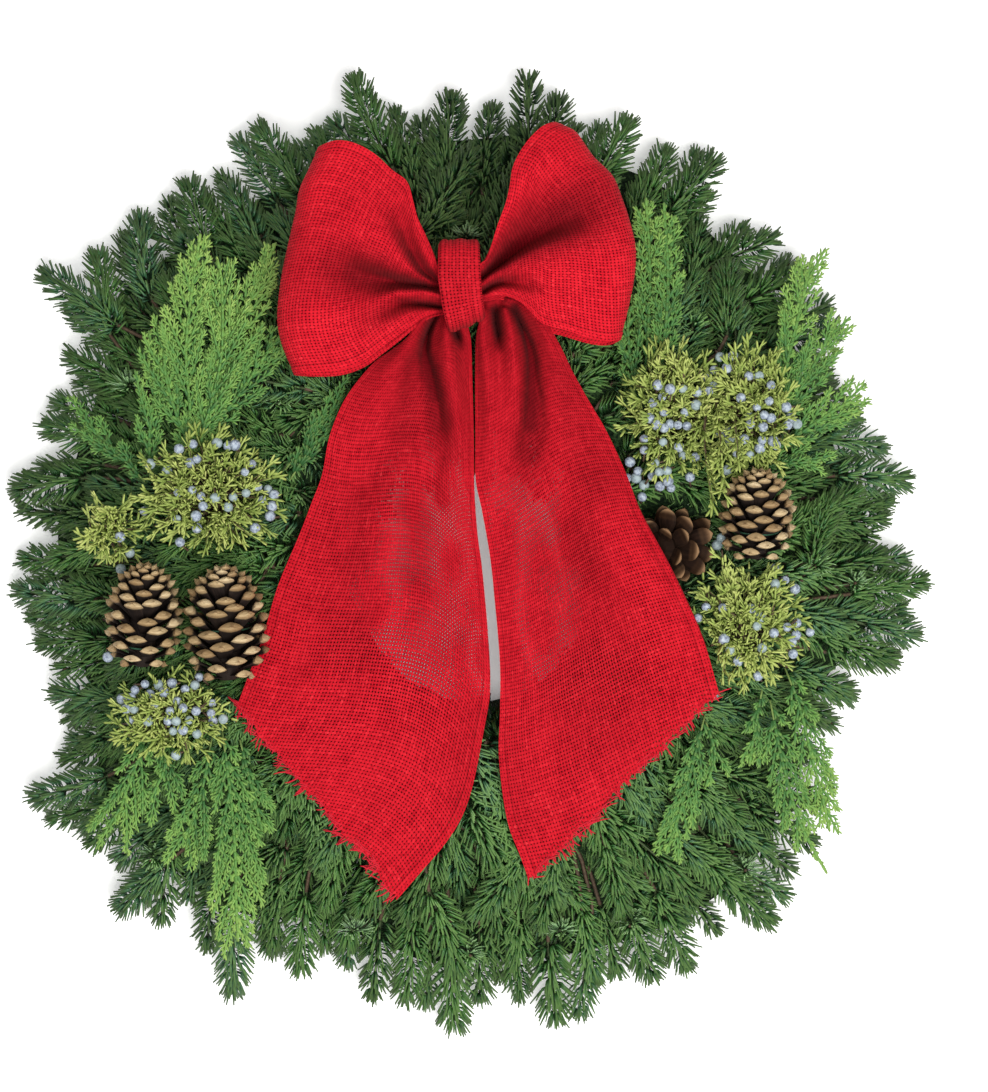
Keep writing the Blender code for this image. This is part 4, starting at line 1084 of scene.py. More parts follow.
def cone_scales(soup, centre, direction, length, radius, seed, open_base):
    """Scales in spirals. Each is a plate from the core that ends in a thick, rhombic, pointed face."""
    rng = np.random.default_rng(seed)
    d = unit(np.array(direction, float))
    side = unit(np.cross(d, [0, 0, 1.0]))
    if abs(d[2]) > 0.95:
        side = unit(np.cross(d, [0, 1.0, 0]))
    nor = np.cross(side, d)
    c = np.array(centre, float)
    count = 84 if not open_base else 42
    golden = math.pi * (3 - math.sqrt(5))
    for i in range(count):
        # even area on the cone's face
        t = ((i + 0.5) / count) ** 0.93
        prof = float(np.interp(t, CONE_PROFILE[:, 0], CONE_PROFILE[:, 1]))
        a = i * golden + rng.normal(0, 0.03)
        out = side * math.cos(a) + nor * math.sin(a)
        # how far the scale leans towards the tip
        if open_base:
            prof = float(np.interp(t, [0, 0.10, 0.24, 0.42, 0.65, 1.0], [0.46, 0.66, 0.86, 1.0, 0.92, 0.3]))
            lean = np.interp(t, [0, 0.15, 0.4, 0.8, 1], [-34, -18, 8, 45, 70])
        else:
            lean = np.interp(t, [0, 0.12, 0.45, 0.8, 1], [2, 24, 40, 58, 76])
        lean = math.radians(lean + rng.normal(0, 2.0))
        ax = out * math.cos(lean) + d * math.sin(lean)          # along the scale
        wide = unit(np.cross(d, out))
        thick = np.cross(wide, ax)
        if thick @ d < 0:
            thick = -thick
        R = radius * prof * rng.uniform(0.96, 1.02)
        if open_base:
            R *= rng.uniform(0.90, 1.06)
        core = c + d * ((t - 0.5) * length * 0.90 - (R - 3) * math.sin(lean) * 0.62 - 0.02 * length)
        reach = (R - 2.0) / max(math.cos(lean), 0.42)
        reach = min(reach, R * 1.25 + 4)
        w = np.interp(t, [0, 0.1, 0.35, 0.7, 1], [9.5, 13.0, 15.0, 11.5, 5.5]) * rng.uniform(0.90, 1.07) * radius / 26.0
        h = np.interp(t, [0, 0.35, 0.7, 1], [5.4, 6.9, 5.6, 3.2]) * rng.uniform(0.88, 1.06) * radius / 26.0
        if open_base:
            w = np.interp(t, [0, 0.1, 0.35, 0.7, 1], [7.4, 9.6, 12.2, 9.6, 5.0]) * rng.uniform(0.90, 1.08) * radius / 26.0
            h = 1.8
        k = 12
        phi = 2 * np.pi * np.arange(k) / k
        cs, sn = np.cos(phi), np.sin(phi)
        # the section runs from a flat plate to a rounded rhombus
        def section(at, ww, hh, sharp, push=0.0, drop=0.0):
            p = 2 - 0.75 * sharp
            rr = (np.abs(cs) ** p + np.abs(sn) ** p) ** (-1 / p)
            xs, ys = cs * rr * ww / 2, sn * rr * hh / 2
            # the upper edge of the face is fuller than the lower one
            ys = np.where(ys > 0, ys * 1.12, ys * 0.88)
            return (core + ax * (at + push * (1 - (xs / (ww / 2 + 1e-6)) ** 2)[:, None]) + wide * xs[:, None] + thick * (ys - drop)[:, None])
        # the shaft is near-black, its own darker brown deepened by painted shade between the scales; the face starts
        # late on the scale
        if open_base:
            rings = [
                section(2.0, w * 0.35, 1.2, 0.0),
                section(reach * 0.45, w * 0.66, 1.6, 0.0),
                section(reach * 0.70, w * 0.98, 2.0, 0.0),
                section(reach * 0.88, w * 0.96, h, 0.0, 0.5),
                section(reach * 0.98, w * 0.74, h * 0.95, 0.0, 0.8),
                section(reach * 1.04, w * 0.44, h * 0.80, 0.0, 0.6),
                section(reach * 1.07, w * 0.18, h * 0.5, 0.0, 0.3),
            ]
        else:
            rings = [
                section(2.0, w * 0.30, 1.0, 0.0),
                section(reach * 0.50, w * 0.58, 1.4, 0.1),
                section(reach * 0.80, w * 0.84, h * 0.34, 0.4),
                section(reach * 0.93, w * 1.00, h * 0.84, 0.75),
                section(reach * 0.985, w * 0.93, h * 0.90, 0.8, 0.4),
                section(reach * 1.035, w * 0.55, h * 0.50, 0.7, 0.8, 0.1 * h),
                section(reach * 1.055, w * 0.20, h * 0.22, 0.2, 0.8, 0.12 * h),
            ]
        tipp = core + ax * (reach * (1.08 if open_base else 1.055) + (0.3 if open_base else 2.0)) - thick * (0.22 * h)
        foot = core + ax * 1.0
        verts = np.concatenate([foot[None]] + rings + [tipp[None]])
        n_r = len(rings)
        ts = [0.05, 0.25, 0.50, 0.64, 0.76, 0.90, 0.96] if open_base else [0.05, 0.25, 0.46, 0.56, 0.64, 0.86, 0.94]
        cc, rr_ = rng.integers(0, 8), rng.integers(0, 8)

        def uvp(t_, j):
            return ((cc + 0.04 + 0.92 * (j / k)) / 8, (rr_ + 0.02 + 0.96 * t_) / 8)
        tris, uvs = [], []
        for j in range(k):
            n = j + 1
            jn = n % k
            tris.append((0, 1 + jn, 1 + j))
            uvs.append((uvp(0, j + 0.5), uvp(ts[0], n), uvp(ts[0], j)))
            for r_ in range(n_r - 1):
                a0, a1 = 1 + r_ * k + j, 1 + r_ * k + jn
                b0, b1 = a0 + k, a1 + k
                tris += [(a0, a1, b1), (a0, b1, b0)]
                uvs += [(uvp(ts[r_], j), uvp(ts[r_], n), uvp(ts[r_ + 1], n)), (uvp(ts[r_], j), uvp(ts[r_ + 1], n), uvp(ts[r_ + 1], j))]
            last = 1 + (n_r - 1) * k
            tris.append((last + j, last + jn, 1 + n_r * k))
            uvs.append((uvp(ts[-1], j), uvp(ts[-1], n), uvp(0.99, j + 0.5)))
        tris, uvs = np.array(tris), np.array(uvs)
        vol = np.einsum("ij,ij->i", verts[tris[:, 0]] - core, np.cross(verts[tris[:, 1]] - core, verts[tris[:, 2]] - core)).sum()
        if vol < 0:
            tris, uvs = tris[:, ::-1], uvs[:, ::-1]
        soup.add(verts, tris, uvs)
    # the core
    s = np.linspace(0, 1, 12)
    line = c + d * ((s - 0.5) * length * 0.96)[:, None]
    rad = np.interp(s, [0, 0.08, 0.5, 0.9, 1], [0.20, 0.36, 0.34, 0.16, 0.05]) * radius
    verts, tris, su = tubes(line[None], rad[None], 14)
    uv = np.stack([(3.04 + 0.92 * su[..., 1]) / 8, (2.02 + 0.3 * su[..., 0]) / 8], -1)
    soup.add(verts[0], tris, uv)


for i, (centre, direction, length, radius) in enumerate(CONES):
    s = Soup()
    cone_scales(s, centre, direction, length, radius, 50 + i, i == 2)
    pts = np.concatenate(s.v)
    s.piece(f"pine_cone_{i + 1:02d}_scales", [OPEN_CONE_MAT if i == 2 else CONE_MAT], (f"pine_cone_{i + 1:02d}",), "pine_cone", smooth=38)
    lay(lid, pts, 1)


# ---------------------------------------------------------- scale-leaved sprays
LEAF_TRIS = np.array([(0, 1, 2), (1, 4, 2), (0, 3, 1), (0, 2, 3), (1, 3, 4), (3, 2, 4)])
LEAF_UNDER = np.array([0, 0, 1, 1, 1, 1])
LEAF_ALONG = np.array([0.0, 0.42, 0.42, 0.42, 1.0])
LEAF_ACROSS = np.array([0.5, 0.0, 1.0, 0.52, 0.5])


def leaf_mesh(soup, base, d, n, L, w, cls, row, mat=0, deep=0.40, belly=0.30):
    """Small pointed leaves: flat above, keeled below, widest at the share belly of their length."""
    b = len(base)
    nor = unit(n - np.einsum("bi,bi->b", n, d)[:, None] * d)
    side = np.cross(d, nor)
    verts = np.empty((b, 5, 3))
    base = base - d * (L * 0.12)[:, None]
    mid = base + d * (L * belly)[:, None] + nor * (w * 0.12)[:, None]
    verts[:, 0] = base
    verts[:, 1] = mid - side * (w * 0.5)[:, None]
    verts[:, 2] = mid + side * (w * 0.5)[:, None]
    verts[:, 3] = mid - nor * (w * deep)[:, None]
    verts[:, 4] = base + d * L[:, None]
    tris = LEAF_TRIS
    un = LEAF_UNDER[:, None]
    u = (np.asarray(cls)[:, None, None] + (0.5 * un)[None] + 0.04 + 0.42 * LEAF_ACROSS[tris][None]) / COLS
    v = (np.asarray(row)[:, None, None] + 0.02 + 0.96 * LEAF_ALONG[tris][None]) / ROWS
    uv = np.stack([u, np.broadcast_to(v, u.shape)], -1)
    v0 = verts[0] - verts[0].mean(0)
    if np.einsum("ij,ij->i", v0[tris[:, 0]], np.cross(v0[tris[:, 1]], v0[tris[:, 2]])).sum() < 0:
        tris, uv = tris[:, ::-1], uv[:, :, ::-1]
    soup.batch(verts, tris, uv, mat)


BEND = 0.50


def along_needle(base, d0, d1, L, s):
    """The place at share s of needles that leave at d0 and soon bend to d1."""
    k = BEND * (1 - math.exp(-s / BEND))
    return base + L[:, None] * (d1 * s + (d0 - d1) * k)


CORD_TRIS = np.array([(0, 2, 1), (0, 3, 2), (0, 1, 3), (1, 2, 5), (1, 5, 4), (2, 3, 6), (2, 6, 5),
                      (3, 1, 4), (3, 4, 6), (4, 5, 7), (5, 6, 7), (6, 4, 7)])
CORD_UNDER = np.array([0, 1, 1, 0, 0, 1, 1, 1, 1, 0, 1, 1])
CORD_ALONG = np.array([0, 0.25, 0.25, 0.25, 0.82, 0.82, 0.82, 1.0])
CORD_ACROSS = np.array([0.5, 0.0, 1.0, 0.5, 0.0, 1.0, 0.5, 0.5])


def cord_mesh(soup, base, d0, d1, n, L, w, cls, row, mat=0):
    """Scaly cord-like twigs: three-sided, blunt, bent from d0 to d1."""
    b = len(base)
    pts = np.stack([along_needle(base, d0, d1, L, s) for s in (0.0, 0.25, 0.82, 1.0)], 1)
    tan = unit(np.stack([d1 + (d0 - d1) * math.exp(-s / BEND) for s in (0.0, 0.25, 0.82, 1.0)], 1))
    nor = unit(n[:, None] - (np.einsum("bij,bj->bi", tan, n))[..., None] * tan)
    side = np.cross(tan, nor)
    verts = np.empty((b, 8, 3))
    verts[:, 0] = pts[:, 0]
    for ring, q, f in ((1, 1, 1.0), (4, 2, 0.84)):
        hw = (w * 0.5 * f)[:, None]
        verts[:, ring] = pts[:, q] - side[:, q] * hw + nor[:, q] * hw * 0.4
        verts[:, ring + 1] = pts[:, q] + side[:, q] * hw + nor[:, q] * hw * 0.4
        verts[:, ring + 2] = pts[:, q] - nor[:, q] * hw
    verts[:, 7] = pts[:, 3]
    tris = CORD_TRIS
    un = CORD_UNDER[:, None]
    u = (np.asarray(cls)[:, None, None] + (0.5 * un)[None] + 0.04 + 0.42 * CORD_ACROSS[tris][None]) / COLS
    v = (np.asarray(row)[:, None, None] + 0.02 + 0.96 * CORD_ALONG[tris][None]) / ROWS
    uv = np.stack([u, np.broadcast_to(v, u.shape)], -1)
    v0 = verts[0] - verts[0].mean(0)
    if np.einsum("ij,ij->i", v0[tris[:, 0]], np.cross(v0[tris[:, 1]], v0[tris[:, 2]])).sum() < 0:
        tris, uv = tris[:, ::-1], uv[:, :, ::-1]
    soup.batch(verts, tris, uv, mat)


class Leaves:
    def __init__(self):
        self.rows = []

    def add(self, base, d, n, L, w, cls):
        self.rows.append((base, d, n, L, w, cls))

    def arrays(self):
        return [np.array(x, float) for x in zip(*self.rows)]

    def ends(self):
        base, d, n, L, w, cls = self.arrays()
        return np.concatenate([base, base + d * L[:, None]])

    def build(self, soup, rng, keep=None, mat=0, deep=0.40, cords=False):
        base, d, n, L, w, cls = self.arrays()
        if keep is not None:
            base, d, n, L, w, cls = (x[keep] for x in (base, d, n, L, w, cls))
        cls = np.clip(np.floor(cls + rng.uniform(-0.8, 0.8, len(cls))), 0, COLS - 1)
        row = rng.integers(0, ROWS, len(cls)).astype(float)
        if cords:
            cord_mesh(soup, base, unit(d), unit(d), unit(n), L, w, cls, row, mat)
        else:
            leaf_mesh(soup, base, unit(d), unit(n), L, w, cls, row, mat, deep)


CEDAR_MAT = foliage(
    "cedar_leaves",
    [(0.0, (0.030, 0.105, 0.030)), (0.25, (0.062, 0.185, 0.048)), (0.50, (0.120, 0.290, 0.065)),
     (0.75, (0.225, 0.420, 0.090)), (1.0, (0.380, 0.560, 0.135))],
    (0.44, 0.60, 0.16), (0.20, 0.36, 0.12), roughness=0.5, tip_share=0.5, band=0.25, painted_foot_shade=0.10, spread=0.10, gloss=0.28)
JUNIPER_MAT = foliage(
    "juniper_leaves",
    [(0.0, (0.100, 0.165, 0.035)), (0.3, (0.200, 0.290, 0.060)), (0.6, (0.350, 0.450, 0.105)), (0.85, (0.500, 0.580, 0.165)), (1.0, (0.620, 0.600, 0.230))],
    (0.55, 0.55, 0.17), (0.22, 0.30, 0.10), roughness=0.55, tip_share=0.45, band=0.2, painted_foot_shade=0.15, spread=0.12, gloss=0.25)


def frond(leaves, pts, tan, up0, W, hand0, lit, shade, rng, gap, angle, width, depth):
    """Branchlets by turns on both sides of an axis. depth 2: each is a frond of its own."""
    lo, hi = shade

    def c(f):
        return lo + (hi - lo) * f + rng.normal(0, 0.55)

    def level(k=0.16):
        return up0 + rng.normal(0, k, 3)

    n = len(pts)
    for i in range(n):
        f = i / max(n - 1, 1)
        hand = hand0 * (1 if i % 2 else -1)
        sd = unit(np.cross(tan[i], up0)) * hand
        ang = math.radians(angle * (1.08 - 0.30 * f) + rng.normal(0, 3.0))
        bl = float(W[i] / math.sin(ang)) * rng.uniform(0.82, 1.15)
        if bl < 2.4:
            continue
        bd = unit(tan[i] * math.cos(ang) + sd * math.sin(ang) + up0 * rng.normal(0.03, 0.06))
        if depth == 2 and bl > 11.0:
            r = np.linspace(0, 1, 6)[:, None]
            bline = pts[i] + bd * bl * r + tan[i] * bl * 0.18 * r ** 2 + up0 * (bl * rng.normal(-0.03, 0.06) * r ** 2)
            q = max(4, int(bl / 2.45))
            rr = (np.arange(q) + 0.9) / (q + 0.6)
            bp = at_share(bline, rr)
            bt = unit(at_share(bline, np.clip(rr + 0.1, 0, 1)) - at_share(bline, np.clip(rr - 0.1, 0, 1)))
            w2 = np.interp(rr, [0, 0.3, 0.75, 1], [2.8, 4.0, 3.2, 1.8]) * rng.uniform(0.85, 1.15)
            here = lit
            frond(leaves, bp, bt, unit(up0 + rng.normal(0, 0.10, 3)), w2, hand, here, shade, rng, gap, 30.0, width * 0.72, 1)
            k = max(2, int(round(bl / 6.5)))
            cuts = at_share(bline, np.linspace(0, 1, k + 1))
            for j in range(k):
                d = cuts[j + 1] - cuts[j]
                L = float(np.linalg.norm(d))
                leaves.add(cuts[j], d / L, level(), L * 1.4, width * (1.05 - 0.2 * j / k), c(here + 0.38 * j / k))
            leaves.add(bline[-2], unit(bline[-1] - bline[-3]), level(), 4.2, width * 0.85, c(here + 0.50))
            continue
        tipped = c(lit + 0.16 + 0.42 * f)
        leaves.add(pts[i], bd, level(), bl, width, tipped)
        if bl > 6.6:
            for at, h2 in ((0.30, 1), (0.55, -1)):
                sd3 = unit(np.cross(bd, up0)) * h2 * hand
                d3 = unit(bd * 0.82 + sd3 * 0.57 + up0 * rng.normal(0, 0.05))
                leaves.add(pts[i] + bd * bl * at, d3, level(), bl * 0.50 * rng.uniform(0.85, 1.15), width * 0.86, tipped + 0.8)


def plume(soup, stems, line, halfw, shade, rng, gap=3.3, width=1.95, stem_r=0.60, every=6.6, angle=26.0):
    """A flat fern-like spray: a stem, fronds by turns on both its sides, and branchlets on each."""
    line = smooth_line(line, 8)
    total = np.linalg.norm(np.diff(line, axis=0), axis=1).sum()
    tilt = rng.normal(0, 0.14)
    axis = unit(line[-1] - line[0])
    across = unit(np.cross(axis, [0, 0, 1.0]))
    up0 = unit(np.array([0, 0, 1.0]) + across * tilt)
    leaves = Leaves()
    lo, hi = shade
    # the long side fronds, then short branchlets near the tip
    for first, last, step, depth in ((0.02, 0.90, every, 2), (0.12, 1.0, gap * 1.25, 1)):
        n = max(4, int(total * (last - first) / step))
        s = first + (last - first) * (np.arange(n) + 0.4) / n
        pts = at_share(line, s)
        tan = unit(at_share(line, np.clip(s + 0.03, 0, 1)) - at_share(line, np.clip(s - 0.03, 0, 1)))
        W = np.interp(s, np.linspace(0, 1, len(halfw)), halfw)
        if depth == 1:
            W = np.minimum(W, 3.6 * np.clip((1.06 - s) * 6, 0.35, 1.0))
            frond(leaves, pts, tan, up0, W, -1, 0.25, shade, rng, gap, 36.0, width, 1)
        else:
            for a_, b_ in ((0, n // 2), (n // 2, n)):
                frond(leaves, pts[a_:b_], tan[a_:b_], up0, W[a_:b_] * 1.1, 1, 0.02 + 0.26 * (a_ > 0), shade, rng, gap, angle, width, 2)
    k = max(4, int(total / 6.0))
    cuts = at_share(line, np.linspace(0.10, 1, k + 1))
    for j in range(k):
        d = cuts[j + 1] - cuts[j]
        L = float(np.linalg.norm(d))
        leaves.add(cuts[j] + up0 * stem_r * 0.5, d / L, up0 + rng.normal(0, 0.1, 3), L * 1.4, width * 1.15, lo + (hi - lo) * (0.10 + 0.6 * j / k))
    leaves.add(line[-2], unit(line[-1] - line[-3]), up0, 6.0, width, hi)
    base, d, _, L, _, _ = leaves.arrays()
    tips = base + d * L[:, None]
    keep = (tips[:, 2] < lid_at(tips, roof) - 2.0) & (base[:, 2] < lid_at(base, roof) - 2.0)
    leaves.build(soup, rng, keep, cords=True)
    q = 12
    ln = at_share(line, np.linspace(0, 1, q))[None]
    verts, tris, su = tubes(ln, (stem_r * np.linspace(1.25, 0.5, q))[None], 5)
    stems.append((verts, tris, su))
    return leaves.ends()


STEM_YELLOW = bark("cedar_stem", (0.120, 0.200, 0.045), (0.230, 0.320, 0.080), 500.0)
NEW_TWIG = bark("green_twig", (0.030, 0.060, 0.018), (0.090, 0.130, 0.040), 500.0)

# each: the CAD sprig, the axis in the view with its heights, half widths in mm, shades, spacing
PLUMES = [
    # the large lime fan at the upper left
    ("cedar_sprig_01", ((195, 478, 62), (205, 425, 66), (225, 365, 68), (250, 300, 68), (275, 245, 66)), (4, 10, 13, 11, 5, 1.5), (5, 16), {}),
    ("cedar_sprig_01", ((192, 470, 61), (190, 410, 65), (186, 350, 67), (192, 290, 66), (200, 236, 64)), (4, 10, 14, 11, 6, 1.5), (5, 16), {}),
    ("cedar_sprig_01", ((196, 450, 64), (212, 400, 68), (222, 350, 70), (222, 285, 69), (218, 262, 68)), (5, 11, 12, 9, 3), (3, 16), {}),
    ("cedar_sprig_01", ((193, 455, 63), (175, 410, 66), (165, 370, 66), (165, 335, 64)), (3, 9, 9, 3), (3, 14), {}),
    ("cedar_sprig_01", ((200, 440, 65), (235, 400, 67), (262, 360, 66), (285, 330, 63)), (3, 9, 9, 3), (2, 13), {}),
    # lower left of the fan
    ("cedar_sprig_02", ((150, 480, 60), (150, 430, 64), (157, 380, 64), (160, 345, 62)), (4, 10, 9, 2), (3, 14), {}),
    ("cedar_sprig_02", ((145, 482, 60), (120, 455, 62), (100, 437, 60), (86, 425, 58)), (3, 8, 8, 2), (0, 11), {}),
    # bluish sprays right of the fan
    ("cedar_sprig_03", ((290, 480, 58), (310, 450, 62), (328, 432, 60), (343, 420, 56)), (4, 9, 9, 2), (0, 7), {}),
    ("cedar_sprig_03", ((285, 470, 58), (315, 432, 60), (338, 405, 58), (350, 392, 55)), (3, 8, 8, 2), (0, 8), {}),
    # below the left cones
    ("cedar_sprig_04", ((150, 725, 60), (138, 760, 64), (125, 795, 62), (118, 820, 58)), (6, 13, 12, 2), (3, 15), {}),
    ("cedar_sprig_04", ((160, 728, 60), (165, 765, 63), (150, 800, 60)), (4, 10, 3), (1, 13), {}),
    ("cedar_sprig_05", ((222, 730, 62), (230, 790, 66), (235, 850, 64), (236, 900, 58), (238, 938, 54)), (6, 14, 15, 10, 2), (3, 16), {}),
    ("cedar_sprig_05", ((212, 738, 62), (202, 790, 64), (190, 830, 60), (186, 852, 56)), (5, 12, 11, 2), (2, 14), {}),
    ("cedar_sprig_05", ((240, 740, 60), (252, 790, 62), (262, 830, 58)), (4, 9, 2), (1, 12), {}),
    # right upper pair of upright tips
    ("cedar_sprig_06", ((645, 385, 60), (648, 330, 64), (650, 270, 64), (646, 200, 60)), (3, 8, 8, 1.5), (2, 14), {}),
    ("cedar_sprig_06", ((655, 400, 62), (664, 340, 66), (668, 280, 66), (664, 205, 60)), (3, 8, 7, 1.5), (1, 13), {}),
    ("cedar_sprig_06", ((640, 420, 60), (632, 370, 64), (628, 320, 62), (640, 290, 60)), (3, 8, 7, 1.5), (0, 12), {}),
    # right sprays
    ("cedar_sprig_07", ((765, 430, 62), (785, 370, 66), (800, 310, 64), (812, 258, 58)), (4, 11, 10, 2), (3, 16), {}),
    ("cedar_sprig_07", ((770, 440, 62), (800, 390, 64), (822, 350, 60), (838, 320, 56)), (4, 10, 9, 2), (2, 15), {}),
    ("cedar_sprig_07", ((770, 455, 62), (805, 430, 64), (835, 410, 60), (858, 398, 56)), (4, 10, 9, 2), (2, 15), {}),
    ("cedar_sprig_07", ((760, 470, 60), (790, 460, 62), (818, 462, 60)), (3, 8, 3), (0, 12), {}),
    # lower right
    ("cedar_sprig_08", ((705, 715, 60), (695, 755, 64), (682, 805, 60), (667, 852, 54)), (3, 10, 9, 1.5), (1, 13), {}),
    ("cedar_sprig_08", ((706, 722, 60), (715, 755, 62), (706, 785, 58)), (2, 6, 2), (1, 12), {}),
    ("cedar_sprig_09", ((785, 668, 62), (800, 708, 66), (811, 754, 62), (822, 795, 56), (829, 828, 50)), (4, 9, 9, 6, 1.5), (3, 16), {}),
    ("cedar_sprig_09", ((770, 700, 60), (782, 760, 62), (797, 815, 56), (811, 845, 50), (825, 870, 44)), (5, 11, 9, 3, 0.8), (2, 15), {}),
    ("cedar_sprig_09", ((762, 690, 60), (755, 730, 62), (750, 762, 58)), (3, 8, 2), (1, 13), {}),
]

rng_c = np.random.default_rng(77)
cedar_soups, cedar_stems = {}, {}
for node, path, halfw, shade, opts in PLUMES:
    s = cedar_soups.setdefault(node, Soup())
    st = cedar_stems.setdefault(node, [])
    arr = np.array(path, float)
    line = P(arr[:, 0], arr[:, 1], arr[:, 2] + 2.0)
    pts = plume(s, st, line, halfw, shade, rng_c, **opts)
    lay(lid, pts - np.array([0, 0, 2.0]), 1)
for node, s in cedar_soups.items():
    for verts, tris, su in cedar_stems[node]:
        s.batch(verts, tris, plain_uv(su, len(verts)), 1)
    s.piece(f"{node}_spray", [CEDAR_MAT, STEM_YELLOW], (node,), "cedar_foliage")


# --------------------------------------------------------------------- juniper
JUNIPERS = (
    (-168, 39, 46, 41, 28), (-233, 16, 17, 22, 18), (-193, -106, 36, 29, 27),
    (133, 92, 31, 46, 28), (183, 92, 29, 45, 28), (179, -47, 38, 40, 27),
)
BERRIES = {
    1: ((150, 464), (167, 471), (179, 449), (193, 444), (190, 463), (197, 459), (217, 443), (228, 446), (235, 445), (245, 472),
        (252, 464), (178, 492), (192, 490), (201, 496), (215, 498), (203, 506), (233, 497), (246, 493), (258, 487), (228, 507),
        (144, 511), (177, 519), (196, 516), (197, 528), (180, 542), (262, 500), (268, 489), (274, 495), (272, 506), (270, 516), (255, 528)),
    2: ((120, 537), (130, 553), (121, 569)),
    3: ((108, 657), (145, 684), (159, 685), (172, 683), (185, 689), (195, 685), (199, 677), (135, 690), (131, 698), (122, 699),
        (150, 694), (164, 692), (177, 701), (126, 709), (134, 709), (155, 707), (170, 711), (183, 708), (196, 711), (131, 721),
        (148, 721), (168, 721), (176, 721), (189, 720), (173, 731), (183, 730), (197, 734), (212, 703), (211, 713), (213, 721),
        (223, 719), (176, 755)),
    4: ((664, 428), (678, 425), (687, 426), (644, 439), (663, 442), (679, 447), (683, 455), (695, 457), (644, 450), (655, 463),
        (652, 476), (659, 472), (667, 471), (668, 481), (644, 485), (660, 486), (671, 488), (642, 497), (690, 477), (658, 385),
        (662, 397), (670, 389), (683, 389), (697, 392), (709, 391), (653, 403), (664, 412), (685, 412), (650, 418), (657, 425),
        (670, 424), (696, 405), (630, 462), (638, 471), (636, 478), (627, 478), (628, 489)),
    5: ((720, 431), (728, 430), (750, 424), (788, 425), (744, 439), (762, 440), (773, 441), (760, 448), (737, 453), (727, 470),
        (735, 492), (720, 357), (733, 356), (714, 370), (706, 378), (727, 368), (713, 386), (749, 376), (759, 376), (771, 385),
        (741, 398), (757, 407), (750, 417), (764, 415), (771, 418), (763, 427), (786, 407), (790, 418), (797, 424), (769, 401),
        (724, 437), (730, 440), (776, 445), (750, 455), (721, 538), (717, 545)),
    6: ((774, 569), (785, 580), (775, 584), (678, 595), (795, 589), (706, 607), (723, 608), (698, 618), (751, 609), (761, 617),
        (757, 626), (774, 633), (787, 627), (797, 623), (796, 635), (792, 642), (810, 632), (724, 639), (730, 650), (762, 648),
        (793, 654), (738, 661), (758, 676), (714, 695)),
}


def berry_material():
    mat, nt, sh = nodes_of("juniper_berry")
    g = Graph(nt)
    u, v = g.uv()
    cu, rv = g.math("MULTIPLY", u, 4.0), g.math("MULTIPLY", v, 4.0)
    col, row = g.math("FLOOR", cu), g.math("FLOOR", rv)
    fu, t = g.math("FRACT", cu), g.math("FRACT", rv)
    rnd, _ = g.white(g.vec(col, row, 0.11))
    # round coordinates, so that the bloom has no seam
    ang = g.math("MULTIPLY", fu, 2 * math.pi)
    lat = g.math("MULTIPLY", t, math.pi)
    rr = g.math("SINE", lat)
    vec = g.vec(g.math("ADD", g.math("MULTIPLY", g.math("COSINE", ang), rr), g.math("MULTIPLY", col, 4.3)),
                g.math("ADD", g.math("MULTIPLY", g.math("SINE", ang), rr), g.math("MULTIPLY", row, 4.9)),
                g.math("COSINE", lat))
    bloom = g.noise(vec, 1.5, 4.0, 0.62)
    fine = g.noise(vec, 9.0, 3.0, 0.7)
    skin = g.ramp(bloom, [(0.30, (0.045, 0.055, 0.105)), (0.42, (0.150, 0.190, 0.275)), (0.54, (0.340, 0.410, 0.490)), (0.75, (0.610, 0.670, 0.710))])
    skin = g.mix(g.smooth(fine, 0.35, 0.75, 0.0, 0.35), skin, (0.62, 0.66, 0.76))
    skin = g.mix(g.math("MULTIPLY", g.smooth(rnd, 0.86, 0.93), 0.55), skin, (0.30, 0.40, 0.36))
    # the three-part mark at the end
    star = g.math("ABSOLUTE", g.math("SINE", g.math("MULTIPLY", ang, 1.5)))
    mark = g.math("MULTIPLY", g.smooth(star, 0.10, 0.30, 1.0, 0.0), g.smooth(t, 0.84, 0.90))
    dot = g.smooth(t, 0.955, 0.985)
    skin = g.mix(g.math("MAXIMUM", g.math("MULTIPLY", mark, 0.6), g.math("MULTIPLY", dot, 0.8)), skin, (0.10, 0.07, 0.06))
    nt.links.new(skin, sh.inputs["Base Color"])
    nt.links.new(g.smooth(bloom, 0.3, 0.6, 0.42, 0.75), sh.inputs["Roughness"])
    g.bump(g.math("SUBTRACT", fine, g.math("MULTIPLY", g.math("MAXIMUM", mark, dot), 2.0)), 0.25, 0.0004, sh)
    return mat


BERRY_MAT = berry_material()


